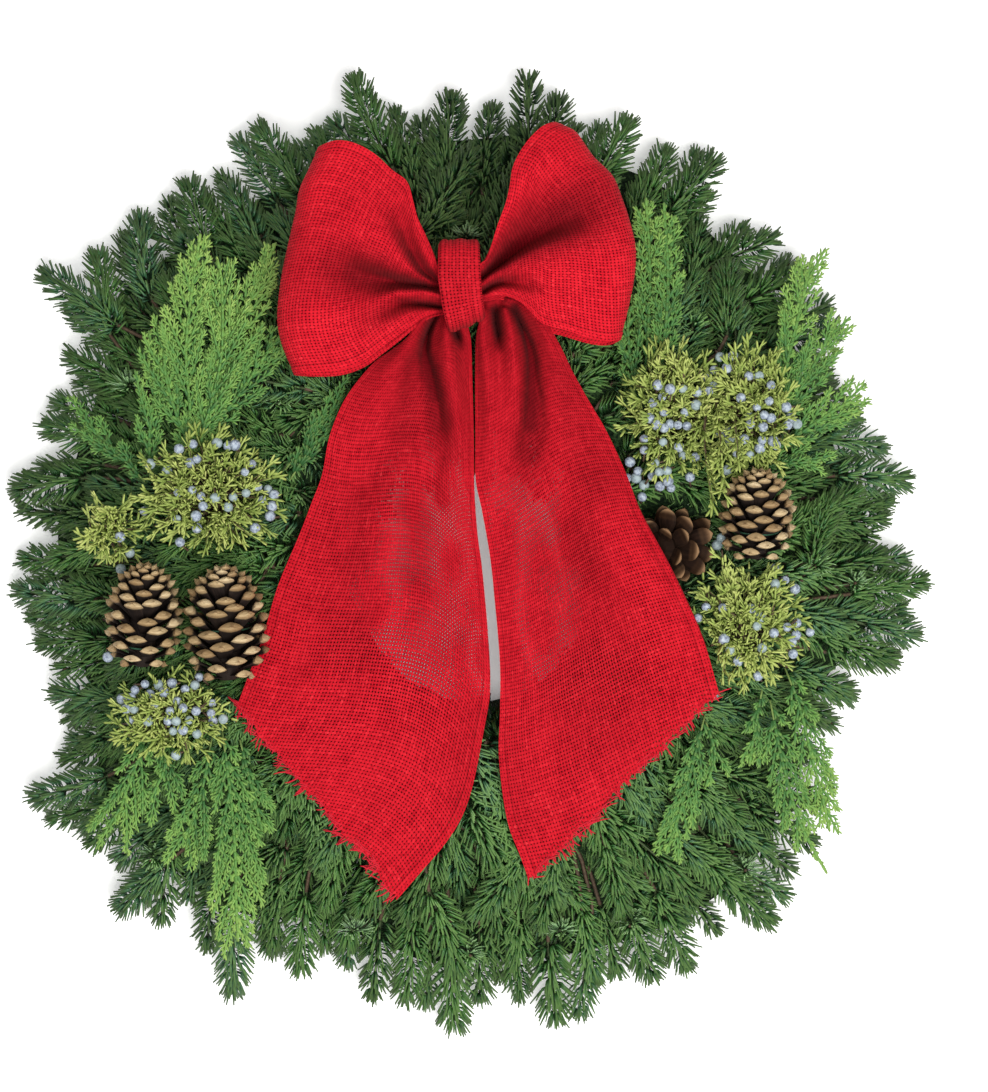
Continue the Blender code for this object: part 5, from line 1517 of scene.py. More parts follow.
def berry(soup, c, r, axis, rng):
    nu, nv = 11, 8
    axis = unit(axis)
    s1 = unit(np.cross(axis, [0.3, 0.5, 0.81]))
    s2 = np.cross(axis, s1)
    lat = np.linspace(0, np.pi, nv + 1)[1:-1]
    ang = 2 * np.pi * np.arange(nu) / nu
    sq = rng.uniform(0.92, 1.02)
    ring = (axis * (-np.cos(lat))[:, None, None] * r * sq
            + (s1 * np.cos(ang)[:, None] + s2 * np.sin(ang)[:, None])[None] * (np.sin(lat) * r)[:, None, None])
    lump = 1 + rng.normal(0, 0.012, ring.shape[:2])[..., None]
    verts = np.concatenate([(c - axis * r * sq)[None], (c + ring * lump).reshape(-1, 3), (c + axis * r * sq * 0.985)[None]])
    cc, rr = rng.integers(0, 4), rng.integers(0, 4)

    def q(j, t):
        return ((cc + 0.02 + 0.96 * j / nu) / 4, (rr + 0.02 + 0.96 * t) / 4)
    tris, uvs = [], []
    rows = nv - 1
    for j in range(nu):
        n = (j + 1) % nu
        tris.append((0, 1 + n, 1 + j))
        uvs.append((q(j + 0.5, 0), q(j + 1, 1 / nv), q(j, 1 / nv)))
        for i in range(rows - 1):
            a0, a1 = 1 + i * nu + j, 1 + i * nu + n
            t0, t1 = (i + 1) / nv, (i + 2) / nv
            tris += [(a0, a1, a1 + nu), (a0, a1 + nu, a0 + nu)]
            uvs += [(q(j, t0), q(j + 1, t0), q(j + 1, t1)), (q(j, t0), q(j + 1, t1), q(j, t1))]
        last = 1 + (rows - 1) * nu
        tris.append((last + j, last + n, 1 + rows * nu))
        uvs.append((q(j, 1 - 1 / nv), q(j + 1, 1 - 1 / nv), q(j + 0.5, 1)))
    tris, uvs = np.array(tris), np.array(uvs)
    d = verts - c
    vol = np.einsum("ij,ij->i", d[tris[:, 0]], np.cross(d[tris[:, 1]], d[tris[:, 2]])).sum()
    if vol < 0:
        tris, uvs = tris[:, ::-1], uvs[:, ::-1]
    soup.add(verts, tris, uvs, 2)


rng_j = np.random.default_rng(101)


def clear_of_cones(p, margin=0.5):
    ok = np.ones(len(p), bool)
    for c, d, L, R in CONES:
        c, d = np.array(c, float), unit(np.array(d, float))
        rel = p - c
        al = rel @ d
        rad = np.linalg.norm(rel - al[:, None] * d, axis=1)
        lim = R * np.interp(al / L + 0.5, CONE_PROFILE[:, 0], CONE_PROFILE[:, 1]) + margin
        ok &= ~((np.abs(al) < L / 2 + 1) & (rad < lim))
    return ok


def seen(samples, cell=2.2, depth=2.5, need=2, block=None):
    """Which needles show from above, from around or from the sides. samples (B,S,3)."""
    b, s_, _ = samples.shape
    flat_ = samples.reshape(-1, 3)
    hits = np.zeros(b, int)
    views = [(0, 0, 1.0)]
    for k in range(8):
        for el in (6, 40):
            e, az = math.radians(el), 2 * math.pi * (k + 0.5 * (el > 20)) / 8
            views.append((math.cos(az) * math.cos(e), math.sin(az) * math.cos(e), math.sin(e)))
    for k, d in enumerate(views):
        d = np.array(d)
        e1 = unit(np.cross(d, [0.01, 0.02, 1.0] if abs(d[2]) < 0.9 else [1.0, 0, 0]))
        e2 = np.cross(d, e1)
        i = ((flat_ @ e1 + 400) / cell).astype(int)
        j = ((flat_ @ e2 + 400) / cell).astype(int)
        z = flat_ @ d
        grid = np.full((800, 800), -1e9)
        np.maximum.at(grid, (i, j), z)
        if block is not None:
            np.maximum.at(grid, (((block @ e1 + 400) / cell).astype(int), ((block @ e2 + 400) / cell).astype(int)), block @ d)
        ok = (z > grid[i, j] - depth).reshape(b, s_).sum(1)
        hits = np.maximum(hits, ok)
    return hits >= need


EXTRA_TWIGS = {
    # over the shoulder of the right cone, and between the two
    5: (((716, 400, 78), (720, 435, 92), (722, 465, 102), (724, 492, 105)), ((706, 410, 78), (704, 440, 88), (708, 470, 97), (712, 500, 98)),
        ((732, 405, 82), (736, 435, 98), (738, 458, 108))),
    6: (((745, 640, 76), (735, 600, 82), (724, 572, 86), (722, 550, 88)), ((750, 640, 76), (760, 600, 80), (768, 575, 80))),
}


def juniper(number, cx, cy, ax, ay, height, twigs, berries):
    s = Soup()
    stems = []
    rng = rng_j
    base_z = 60.0
    rows = []
    root = np.array([cx, cy, base_z])

    def dome(x, y):
        q = np.clip(1 - ((x - cx) / (ax * 1.15)) ** 2 - ((y - cy) / (ay * 1.15)) ** 2, 0, 1)
        return base_z + 3 + height * 0.80 * np.sqrt(q)

    def cord(p, d, L, width, tone, forks):
        """A scaly branchlet that bends, with forks of its own."""
        n1 = rng.normal(0, 0.6, 3) + np.array([0, 0, 1.0])
        d2 = unit(d + rng.normal(0, 0.30, 3) + np.array([0, 0, 0.05]))
        rows.append((p, d, d2, n1, L, width, tone + 0.8))
        for k in range(forks):
            f = (0.30, 0.52, 0.74)[k] * rng.uniform(0.9, 1.1)
            at = along_needle(p[None], d[None], d2[None], np.array([L]), f)[0]
            here = unit(d2 + (d - d2) * math.exp(-f / BEND))
            side = unit(np.cross(here, n1)) * (1 if k % 2 else -1)
            dk = unit(here * 0.80 + side * 0.60 + rng.normal(0, 0.12, 3))
            dk2 = unit(dk + here * 0.35 + rng.normal(0, 0.15, 3))
            rows.append((at, dk, dk2, n1, L * (0.60 - 0.12 * k) * rng.uniform(0.8, 1.15), width * 0.90, tone + 1.5 + 0.8 * k))

    def leafy(line, leaf, gap):
        total = np.linalg.norm(np.diff(line, axis=0), axis=1).sum()
        k = max(3, int(total / gap))
        r = (np.arange(k) + 0.5) / k
        p = at_share(line, r)
        t = unit(at_share(line, np.clip(r + 0.06, 0, 1)) - at_share(line, np.clip(r - 0.06, 0, 1)))
        tone = rng.uniform(4.5, 11.5)
        for i in range(k):
            sd = unit(np.cross(t[i], rng.normal(0, 1, 3)))
            if sd[2] < -0.1:
                sd = -sd
            ang = math.radians(rng.uniform(28, 50))
            d = unit(t[i] * math.cos(ang) + sd * math.sin(ang) + np.array([0, 0, 0.08]))
            cord(p[i], d, leaf * (1 - 0.35 * r[i]) * rng.uniform(0.75, 1.2), rng.uniform(1.7, 2.15), tone, 3 if r[i] < 0.7 else 2)
        cuts = at_share(line, np.linspace(0, 1, max(3, int(total / 5.0))))
        for i in range(len(cuts) - 1):
            dd = cuts[i + 1] - cuts[i]
            LL = float(np.linalg.norm(dd))
            rows.append((cuts[i], dd / LL, dd / LL, np.array([0, 0, 1.0]) + rng.normal(0, 0.4, 3), LL * 1.3, 2.4, tone))
        cord(line[-1] - t[-1], t[-1], leaf * 0.8, 1.9, tone + 1, 2)

    for i in range(twigs):
        a = 2 * np.pi * (i + rng.uniform(0, 0.7)) / twigs * 2.618
        reach = math.sqrt((i + 0.6) / twigs) * rng.uniform(0.86, 1.02)
        ex, ey = cx + ax * reach * math.cos(a), cy + ay * reach * math.sin(a)
        end = np.array([ex, ey, float(dome(ex, ey)) + rng.uniform(-5, 1)])
        b = np.array([cx + ax * 0.42 * reach * math.cos(a), cy + ay * 0.42 * reach * math.sin(a), base_z + rng.uniform(1, 8)])
        mid = (b + end) / 2 + np.array([0, 0, 3.0]) + rng.normal(0, 2.5, 3)
        line = smooth_line(np.array([b, mid, end]), 6)
        leafy(line, 18.0, 4.8)
        v_, t_, s_ = tubes(at_share(line, np.linspace(0, 1, 6))[None], np.linspace(1.1, 0.55, 6)[None], 5)
        stems.append((v_, t_, s_))
        low = np.array([root + rng.normal(0, 3, 3) * [1, 1, 0], (root + b) / 2 + rng.normal(0, 1.5, 3), b])
        v_, t_, s_ = tubes(at_share(low, np.linspace(0, 1, 4))[None], np.linspace(1.6, 1.1, 4)[None], 5)
        stems.append((v_, t_, s_))
    for extra in EXTRA_TWIGS.get(number, ()):
        line = smooth_line(np.array([P(a, b, float(z)) for a, b, z in extra]), 6)
        leafy(line, 17.0, 4.2)
        v_, t_, s_ = tubes(at_share(line, np.linspace(0, 1, 6))[None], np.linspace(1.2, 0.55, 6)[None], 5)
        stems.append((v_, t_, s_))
    base, d0, d1, n, L, w, cls = (np.array(x, float) for x in zip(*rows))
    tips = along_needle(base, d0, d1, L, 1.0)
    keep = (tips[:, 2] < lid_at(tips, roof) - 2.0) & (base[:, 2] < lid_at(base, roof) - 2.0) & (tips[:, 2] > 45)
    for q in (tips, along_needle(base, d0, d1, L, 0.6), base):
        keep &= clear_of_cones(q)
    keep &= seen(np.stack([along_needle(base, d0, d1, L, f) for f in np.linspace(0.1, 1, 7)], 1), 1.8, 2.2, 2)
    base, d0, d1, n, L, w, cls, tips = (x[keep] for x in (base, d0, d1, n, L, w, cls, tips))
    cls = np.clip(np.floor(cls + rng.uniform(-0.8, 0.8, len(cls))), 0, COLS - 1)
    cord_mesh(s, base, unit(d0), unit(d1), unit(n), L, w, cls, rng.integers(0, ROWS, len(cls)).astype(float))
    for verts_, tris_, su_ in stems:
        if (verts_[0][:, 2] < lid_at(verts_[0], roof) - 3.0).all():
            s.batch(verts_, tris_, plain_uv(su_, len(verts_)), 1)
    pts = np.concatenate([base, tips])
    # berries on short stalks
    for (a, b) in berries:
        z = base_z + height * 0.75
        for _ in range(3):
            q = P(a, b, z)
            z = float(dome(q[0], q[1])) + 1.5
        z += rng.uniform(-3.5, 2.0)
        q = P(a, b, z)
        r = rng.uniform(2.9, 3.75)
        tilt = unit(np.array([rng.normal(0, 0.8), rng.normal(0, 0.8), 1.0]))
        berry(s, q, r, tilt, rng)
        foot = q - tilt * (r + rng.uniform(4, 7)) + rng.normal(0, 1.5, 3)
        ln = at_share(np.array([foot, q - tilt * r * 0.8]), np.linspace(0, 1, 3))[None]
        v_, t_, s_ = tubes(ln, np.array([[0.8, 0.7, 0.8]]), 4)
        s.batch(v_, t_, plain_uv(s_, 1), 1)
    s.piece(f"juniper_{number:02d}_sprays", [JUNIPER_MAT, BARK, BERRY_MAT], (f"juniper_sprig_{number:02d}",), "juniper_foliage")
    lay(lid, pts[pts[:, 2] > 60] - np.array([0, 0, 6.0]), 1)
    return s.count()


for i, (row, twigs) in enumerate(zip(JUNIPERS, (58, 20, 40, 58, 58, 60))):
    juniper(i + 1, *row, twigs, BERRIES[i + 1])


# ------------------------------------------------------------------------- fir
NEEDLE_TRIS = np.array([(0, 2, 1), (1, 2, 5), (1, 5, 4), (0, 1, 3), (1, 4, 3), (0, 3, 2), (2, 3, 5), (3, 4, 5)])
NEEDLE_UNDER = np.array([0, 0, 0, 1, 1, 1, 1, 1])
ALONG = np.array([0, 0.42, 0.42, 0.42, 1.0, 1.0])
LATERAL = np.array([0.5, 0.0, 1.0, 0.5, 0.0, 1.0])


class Needles:
    def __init__(self):
        self.rows = []

    def add(self, base, d0, d1, n, length, width, cls, row):
        self.rows.append((base, d0, d1, n, length, width, cls, row))

    def arrays(self):
        return [np.concatenate(x) for x in zip(*self.rows)]


def fir_shoot(sink, p0, p1, rng, lift=4.0, length=20.0, density=2.0, width=1.55, flat=0.0, curl=0.35, crown=12, tone=6.0, spread=1.0, first=0.0):
    """One shoot: needles round a twig from p0 to p1. They stand out from it, then sweep forward,
    thick enough above to hide the twig."""
    p0, p1 = np.asarray(p0, float), np.asarray(p1, float)
    total = np.linalg.norm(p1 - p0)
    mid = (p0 + p1) / 2 + np.array([0, 0, lift]) + rng.normal(0, 0.04, 3) * total * np.array([1, 1, 0.3])
    n = int(total * density * 1.14)
    t = np.clip((np.arange(n) + rng.uniform(-0.5, 0.5, n)) / n, 0, 1)
    t = first + (1 - first) * t
    base = ((1 - t) ** 2)[:, None] * p0 + (2 * t * (1 - t))[:, None] * mid + (t ** 2)[:, None] * p1
    a = unit(2 * ((1 - t)[:, None] * (mid - p0) + t[:, None] * (p1 - mid)))
    ref = np.array([0, 0, 1.0])
    if abs(unit(p1 - p0)[2]) > 0.8:
        ref = np.array([0.2, 1.0, 0.0])
    side = unit(np.cross(a, ref))
    up = np.cross(side, a)
    # a fringe along each side, and above it the needles that lie forward over the twig
    over = rng.uniform(size=n) < 0.44
    fringe = np.clip(rng.normal(0.16, 0.34, n), -0.45, 1.0) * (1 - 0.5 * flat)
    phi = np.where(over, rng.uniform(0.75, np.pi - 0.75, n), np.where(np.arange(n) % 2 == 0, fringe, np.pi - fringe))
    r = unit(side * np.cos(phi)[:, None] + up * np.sin(phi)[:, None])
    al0 = np.radians(np.where(over, np.interp(t, [0, 0.5, 0.85, 1], [84, 80, 66, 44]), np.interp(t, [0, 0.5, 0.85, 1], [104, 100, 86, 56])) * spread + rng.normal(0, 6, n))
    al1 = np.radians(np.where(over, np.interp(t, [0, 0.5, 0.85, 1], [22, 17, 12, 6]), np.interp(t, [0, 0.5, 0.85, 1], [36, 29, 19, 8])) * spread + rng.normal(0, 6, n))
    L = length * np.interp(t, [0, 0.12, 0.35, 0.85, 1], [0.78, 0.95, 1.0, 0.86, 0.62]) * rng.uniform(0.86, 1.10, n) * np.where(over, 0.84, 1.0)
    if crown:
        # the ring of short needles round the bud
        k = crown
        base = np.concatenate([base, np.repeat(p1[None], k, 0) - a[-1] * rng.uniform(0, 2.5, k)[:, None]])
        a = np.concatenate([a, np.repeat(a[-1:], k, 0)])
        side = np.concatenate([side, np.repeat(side[-1:], k, 0)])
        up = np.concatenate([up, np.repeat(up[-1:], k, 0)])
        ph = 2 * np.pi * np.arange(k) / k + rng.normal(0, 0.3, k)
        r = np.concatenate([r, unit(side[-k:] * np.cos(ph)[:, None] + up[-k:] * (np.sin(ph) * (1 - 0.6 * flat))[:, None])])
        al0 = np.concatenate([al0, np.radians(rng.uniform(16, 58, k))])
        al1 = np.concatenate([al1, np.radians(rng.uniform(4, 30, k))])
        L = np.concatenate([L, length * rng.uniform(0.46, 0.72, k)])
        t = np.concatenate([t, np.ones(k)])
    m = len(t)
    d0 = unit(a * np.cos(al0)[:, None] + r * np.sin(al0)[:, None])
    r1 = unit(r + up * curl)
    d1 = unit(a * np.cos(al1)[:, None] + r1 * np.sin(al1)[:, None] + rng.normal(0, 0.05, (m, 3)))
    nn = unit(up - a * rng.uniform(0.1, 0.5, m)[:, None] + rng.normal(0, 0.22, (m, 3)))
    w = width * rng.uniform(0.88, 1.10, m)
    cls = np.clip(np.round(tone + rng.normal(0, 0.9, m)), 0, COLS - 1)
    row = rng.integers(0, ROWS, m).astype(float)
    sink.add(base + r * 0.5, d0, d1, nn, L, w, cls, row)
    line = np.stack([((1 - s) ** 2) * p0 + (2 * s * (1 - s)) * mid + s ** 2 * p1 for s in np.linspace(0, 1, 5)])
    return line


def needle_mesh(soup, base, d0, d1, n, L, w, cls, row):
    """Needles as slim closed bodies: flat above, keeled below, blunt, bent from d0 to d1."""
    b = len(base)
    ss = (0.0, 0.42, 1.0)
    pts = np.stack([along_needle(base, d0, d1, L, s) for s in ss], 1)
    tan = unit(np.stack([d1 + (d0 - d1) * math.exp(-s / BEND) for s in ss], 1))
    nor = unit(n[:, None] - (np.einsum("bij,bj->bi", tan, n))[..., None] * tan)
    side = np.cross(tan, nor)
    hw = (w * 0.5)[:, None]
    verts = np.empty((b, 6, 3))
    verts[:, 0] = pts[:, 0]
    verts[:, 1] = pts[:, 1] - side[:, 1] * hw
    verts[:, 2] = pts[:, 1] + side[:, 1] * hw
    verts[:, 3] = pts[:, 1] - nor[:, 1] * hw * 0.72
    verts[:, 4] = pts[:, 2] - side[:, 2] * hw * 0.56
    verts[:, 5] = pts[:, 2] + side[:, 2] * hw * 0.56
    tris = NEEDLE_TRIS
    v0 = verts[0] - verts[0].mean(0)
    vol = np.einsum("ij,ij->i", v0[tris[:, 0]], np.cross(v0[tris[:, 1]], v0[tris[:, 2]])).sum()
    al = ALONG[tris]
    la = LATERAL[tris]
    un = NEEDLE_UNDER[:, None]
    u = (cls[:, None, None] + (0.5 * un)[None] + 0.04 + 0.42 * la[None]) / COLS
    v = (row[:, None, None] + 0.02 + 0.96 * al[None]) / ROWS
    uv = np.stack([u, np.broadcast_to(v, u.shape)], -1)
    if vol < 0:
        tris, uv = tris[:, ::-1], uv[:, :, ::-1]
    soup.batch(verts, tris, uv, 0)


# rim shoots: tip and foot in the view, then the tip's height
RIM = (
    (196, 188, 252, 272, 22), (224, 176, 266, 262, 26), (240, 200, 282, 280, 18),
    (455, 985, 450, 905, 12), (330, 942, 345, 868, 12), (545, 975, 538, 895, 12), (500, 990, 492, 910, 14),
    (350, 68, 393, 168, 24), (326, 112, 368, 165, 16), (310, 122, 345, 178, 14), (452, 85, 447, 185, 26), (495, 95, 482, 188, 18),
    (527, 66, 532, 170, 26), (563, 88, 540, 176, 20), (582, 116, 548, 190, 16), (633, 112, 590, 195, 24), (608, 118, 570, 185, 14),
    (671, 139, 640, 215, 20), (722, 150, 668, 215, 22), (703, 143, 660, 232, 16), (716, 185, 665, 240, 14), (785, 235, 712, 266, 24),
    (752, 219, 700, 285, 18), (815, 270, 745, 302, 22), (800, 255, 740, 310, 14), (845, 325, 768, 350, 22), (838, 300, 770, 330, 12),
    (838, 372, 768, 385, 20), (868, 415, 790, 428, 20), (855, 395, 780, 400, 14), (918, 482, 835, 476, 24), (895, 452, 825, 440, 16),
    (900, 500, 820, 500, 14), (935, 578, 850, 594, 24), (915, 560, 835, 560, 14), (925, 638, 842, 618, 22), (906, 662, 826, 652, 16),
    (862, 702, 790, 668, 18), (845, 730, 775, 700, 14), (820, 762, 760, 720, 16), (822, 850, 740, 800, 18), (800, 880, 730, 820, 14),
    (778, 930, 695, 850, 24), (770, 905, 700, 830, 16), (725, 940, 665, 865, 14), (690, 978, 655, 890, 20), (657, 988, 625, 902, 22),
    (620, 985, 600, 905, 14), (594, 992, 582, 910, 20), (575, 1026, 592, 940, 18), (557, 1030, 548, 942, 22), (520, 1008, 518, 925, 16),
    (455, 1038, 452, 950, 24), (480, 1010, 480, 930, 16), (425, 1015, 430, 935, 14), (405, 1010, 412, 925, 20), (372, 1008, 380, 920, 18),
    (345, 975, 355, 900, 14), (300, 982, 306, 892, 22), (322, 960, 330, 885, 14), (265, 962, 280, 880, 18), (232, 1003, 232, 915, 24),
    (205, 960, 215, 885, 16), (185, 912, 205, 840, 18), (160, 932, 168, 850, 18), (112, 917, 168, 862, 22), (135, 905, 175, 840, 14),
    (75, 835, 135, 792, 20), (22, 800, 108, 776, 24), (40, 822, 118, 800, 14), (60, 742, 135, 735, 18), (45, 690, 122, 700, 22),
    (55, 715, 130, 718, 12), (30, 640, 112, 640, 20), (5, 590, 92, 600, 24), (12, 558, 92, 565, 16), (20, 615, 100, 620, 12),
    (5, 492, 85, 478, 24), (10, 508, 92, 512, 16), (28, 470, 105, 465, 12), (35, 422, 112, 440, 22), (45, 400, 120, 420, 14),
    (60, 350, 135, 392, 22), (70, 375, 140, 410, 12), (36, 266, 118, 325, 26), (62, 300, 125, 350, 14), (96, 242, 110, 335, 24),
    (138, 205, 152, 300, 24), (122, 225, 140, 310, 14), (184, 173, 208, 250, 22), (165, 190, 190, 265, 14), (253, 118, 302, 195, 26),
    (232, 130, 280, 205, 16), (215, 165, 260, 235, 14), (280, 140, 325, 205, 18), (390, 100, 415, 175, 16), (420, 110, 430, 185, 14),
)
# tufts that point at the viewer
STARS = ((280, 400, 62, 20), (695, 322, 64, 22), (815, 566, 50, 22), (855, 583, 44, 18), (466, 236, 66, 16), (352, 930, 48, 18),
         (150, 860, 48, 18), (130, 385, 50, 20), (560, 930, 46, 18), (745, 870, 46, 18), (630, 925, 46, 18), (470, 955, 44, 18))

rng_f = np.random.default_rng(2024)
sinks = [Needles() for _ in SEAMS]
shoot_lines = [[] for _ in SEAMS]
bud_at = [[] for _ in SEAMS]


def bunch_of(p):
    a = math.degrees(math.atan2(p[1], p[0])) % 360
    for i, s in enumerate(SEAMS):
        e = SEAMS[(i + 1) % 12] + (360 if i == 11 else 0)
        if s <= a < e or s <= a + 360 < e:
            return i
    return 11


def rim_radius(deg):
    """Reach of the greenery at an angle, from the rim shoots."""
    pts = np.array([P(a, b, 22.0)[:2] for a, b, *_ in RIM])
    an = np.degrees(np.arctan2(pts[:, 1], pts[:, 0])) % 360
    rr = np.hypot(pts[:, 0], pts[:, 1])
    d = np.abs((an - deg + 180) % 360 - 180)
    w = np.exp(-(d / 7.0) ** 2)
    return float((w * rr).sum() / w.sum())


def put_shoot(p0, p1, **k):
    i = bunch_of((np.asarray(p0) * 0.4 + np.asarray(p1) * 0.6))
    # stay under what lies on top
    for q in (p0, p1):
        cap = min(float(lid_at(q + np.array([dx, dy, 0]))) for dx in (-8, 0, 8) for dy in (-8, 0, 8))
        q[2] = min(q[2], max(cap - 15.0, 16.0))
    # painted shade: shoots in the deep place between the loops get much darker shades
    if abs(p1[0]) < 75 and p1[1] > 150:
        k["tone"] = k.get("tone", 6.0) * 0.22      # the deep place between the loops
    line = fir_shoot(sinks[i], p0, p1, rng_f, **k)
    shoot_lines[i].append(line)
    if rng_f.uniform() < 0.6:
        bud_at[i].append((p1, unit(p1 - p0)))


def tone_for(depth):
    """The colour of a shoot: darker deep down, as painted shade; now and then pale green, blue-green or silvery."""
    x = rng_f.uniform()
    if x < 0.12 and depth > 0.3:
        return rng_f.uniform(9.0, 10.5)
    if x < 0.42:
        return rng_f.uniform(11.3, 14.5) if depth > 0.3 else rng_f.uniform(1.0, 4.0)
    return rng_f.uniform(0.5, 5.0) + 4.6 * depth


for k, (tx, ty, bx, by, tz) in enumerate(RIM):
    p1 = P(tx, ty, float(tz))
    p0 = P(bx, by, float(tz) + 12.0)
    tip = unit(p1 - p0)
    p1 = p1 - tip * 12.0            # the needles reach past the bud
    hi = tz >= 20
    put_shoot(p0, p1, lift=rng_f.uniform(1, 6), length=rng_f.uniform(18.5, 21.5) if hi else rng_f.uniform(16, 19), density=2.6 if hi else 2.2,
              flat=rng_f.uniform(0.15, 0.5), curl=rng_f.uniform(0.1, 0.35), tone=tone_for(0.9 if hi else 0.35))

for (a, b, z, L) in STARS:
    p1 = P(a, b, float(z))
    p0 = p1 - np.array([rng_f.normal(0, 3), rng_f.normal(0, 3), 18.0])
    put_shoot(p0, p1, lift=0.0, length=L, density=2.6, spread=1.15, curl=0.1, crown=16, tone=rng_f.uniform(5, 10))

# the body of the wreath, from the floor up
LAYERS = (
    # radius of the foot, share of the rim reached, heights of foot and tip, spacing in degrees, lean, density, how
    # light (painted shade: the low layers get darker shades)
    (165, 0.84, 15, 10, 8.0, 16, 1.7, 0.00),
    (148, 0.76, 27, 22, 8.0, 20, 1.7, 0.10),
    (172, 0.88, 34, 28, 7.5, 20, 2.1, 0.45),
    (205, 0.91, 25, 20, 6.5, 24, 2.1, 0.60),
    (128, 0.72, 43, 39, 8.0, 26, 2.1, 0.55),
    (150, 0.80, 50, 43, 7.5, 26, 2.3, 0.85),
    (112, 0.62, 54, 52, 9.0, 34, 2.3, 0.80),
    (135, 0.70, 58, 56, 9.0, 38, 2.3, 1.00),
)
for k, (r0, share, z0, z1, step, lean, dens, light) in enumerate(LAYERS):
    deg = k * 2.3
    while deg < 360 + k * 2.3:
        a = deg + rng_f.normal(0, 1.6)
        deg += step
        R = rim_radius(a % 360)
        rb = r0 + rng_f.normal(0, 7)
        rt = max(R * share + rng_f.normal(0, 9), rb + 44)
        L = min(rt - rb, rng_f.uniform(58, 78))
        rb = rt - L
        le = math.radians(rng_f.normal(0, lean * 0.75))
        ar = math.radians(a)
        f = np.array([math.cos(ar), math.sin(ar)])
        g_ = np.array([-f[1], f[0]])
        p0 = np.array([*(f * rb), z0 + rng_f.normal(0, 2)])
        dirn = f * math.cos(le) + g_ * math.sin(le)
        p1 = np.array([*(p0[:2] + dirn * L), z1 + rng_f.normal(0, 3.0)])
        put_shoot(p0, p1, lift=rng_f.uniform(2, 8), length=rng_f.uniform(17.5, 21.5), density=dens,
                  flat=rng_f.uniform(0.0, 0.25), curl=rng_f.uniform(0.25, 0.55), tone=tone_for(light))

# short shoots that lean in towards the clear middle
for k in range(40):
    a = 2 * np.pi * (k + rng_f.uniform(0, 0.6)) / 40
    f = np.array([math.cos(a), math.sin(a)])
    low = k % 3
    r1 = HOLE_R + (13, 18, 25)[low]
    tip = HOLE + f * r1
    foot = f * 128 + rng_f.normal(0, 6, 2)
    d = tip - foot
    L = min(np.linalg.norm(d), 62.0)
    foot = tip - d / np.linalg.norm(d) * L
    z = (18, 32, 44)[low]
    put_shoot(np.array([*foot, z + 8.0]), np.array([*tip, z + rng_f.normal(0, 2)]), lift=3.0, length=16.0, density=2.0, curl=0.3, tone=tone_for(0.4))

# loose ends on top of the band, in every direction
for k in range(66):
    a = 2 * np.pi * (k + rng_f.uniform(0, 0.8)) / 66
    r = rng_f.uniform(118, 225)
    f = np.array([math.cos(a), math.sin(a)])
    th = a + math.radians(rng_f.normal(0, 55))
    L = rng_f.uniform(40, 62)
    p0 = np.array([*(f * r), 56.0 + rng_f.normal(0, 2)])
    p1 = p0 + np.array([math.cos(th) * L, math.sin(th) * L, rng_f.uniform(0, 7)])
    rr = np.hypot(p1[0], p1[1])
    p1[2] = min(p1[2], np.interp(rr, [200, 240, 280, 320], [60, 50, 38, 28]))
    put_shoot(p0, p1, lift=4.0, length=rng_f.uniform(16.5, 20.5), density=2.3, curl=0.45, tone=tone_for(1.0))


def deep_profile(deg):
    """Half-way down, the crossing twigs and old needles close up: that mass, as radii and heights, drawn as a dark body
    of painted shade.
    """
    R = min(rim_radius((deg + k) % 360) for k in (-3, 0, 3))
    f = np.array([math.cos(math.radians(deg)), math.sin(math.radians(deg))])
    to_hole = f @ HOLE + math.sqrt((f @ HOLE) ** 2 - HOLE @ HOLE + HOLE_R ** 2)
    prof = np.array([(84, 22), (92, 31), (106, 38), (126, 43), (150, 44), (176, 39), (200, 32), (0.75 * R, 23), (0.83 * R, 15),
                     (0.90 * R, 10.0), (0.89 * R, 8.0), (0.72 * R, 8.5), (186, 10.0), (150, 11.0), (120, 11.0), (100, 12.0), (88, 15)])
    prof[:, 0] += max(0.0, to_hole + 9.0 - 84.0) * np.clip((150 - prof[:, 0]) / 66.0, 0, 1)
    return prof


def deep_points(degs, fine=1):
    """The mass at these bearings: (bearings, places round the section, 3)."""
    out = []
    for deg in degs:
        prof = deep_profile(deg)
        q = np.linspace(0, len(prof), len(prof) * fine, endpoint=False)
        ring = np.concatenate([prof, prof[:1]])
        rr, zz = np.interp(q, np.arange(len(ring)), ring[:, 0]), np.interp(q, np.arange(len(ring)), ring[:, 1])
        a = math.radians(deg)
        bump = 2.2 * np.sin(a * 23 + rr * 0.11) + 1.8 * np.sin(a * 41 - rr * 0.17 + 1.3) + 1.5 * np.sin(a * 9 + rr * 0.07 + 4.0)
        zz = np.where(zz > 18, zz + bump, zz)
        p = np.stack([rr * math.cos(a), rr * math.sin(a), zz], -1)
        p[:, 2] = np.maximum(np.minimum(p[:, 2], lid_at(p) - 14.0), np.minimum(zz, 11.0))
        out.append(p)
    return np.array(out)


block = deep_points(np.arange(0, 360, 0.35), 6).reshape(-1, 3)


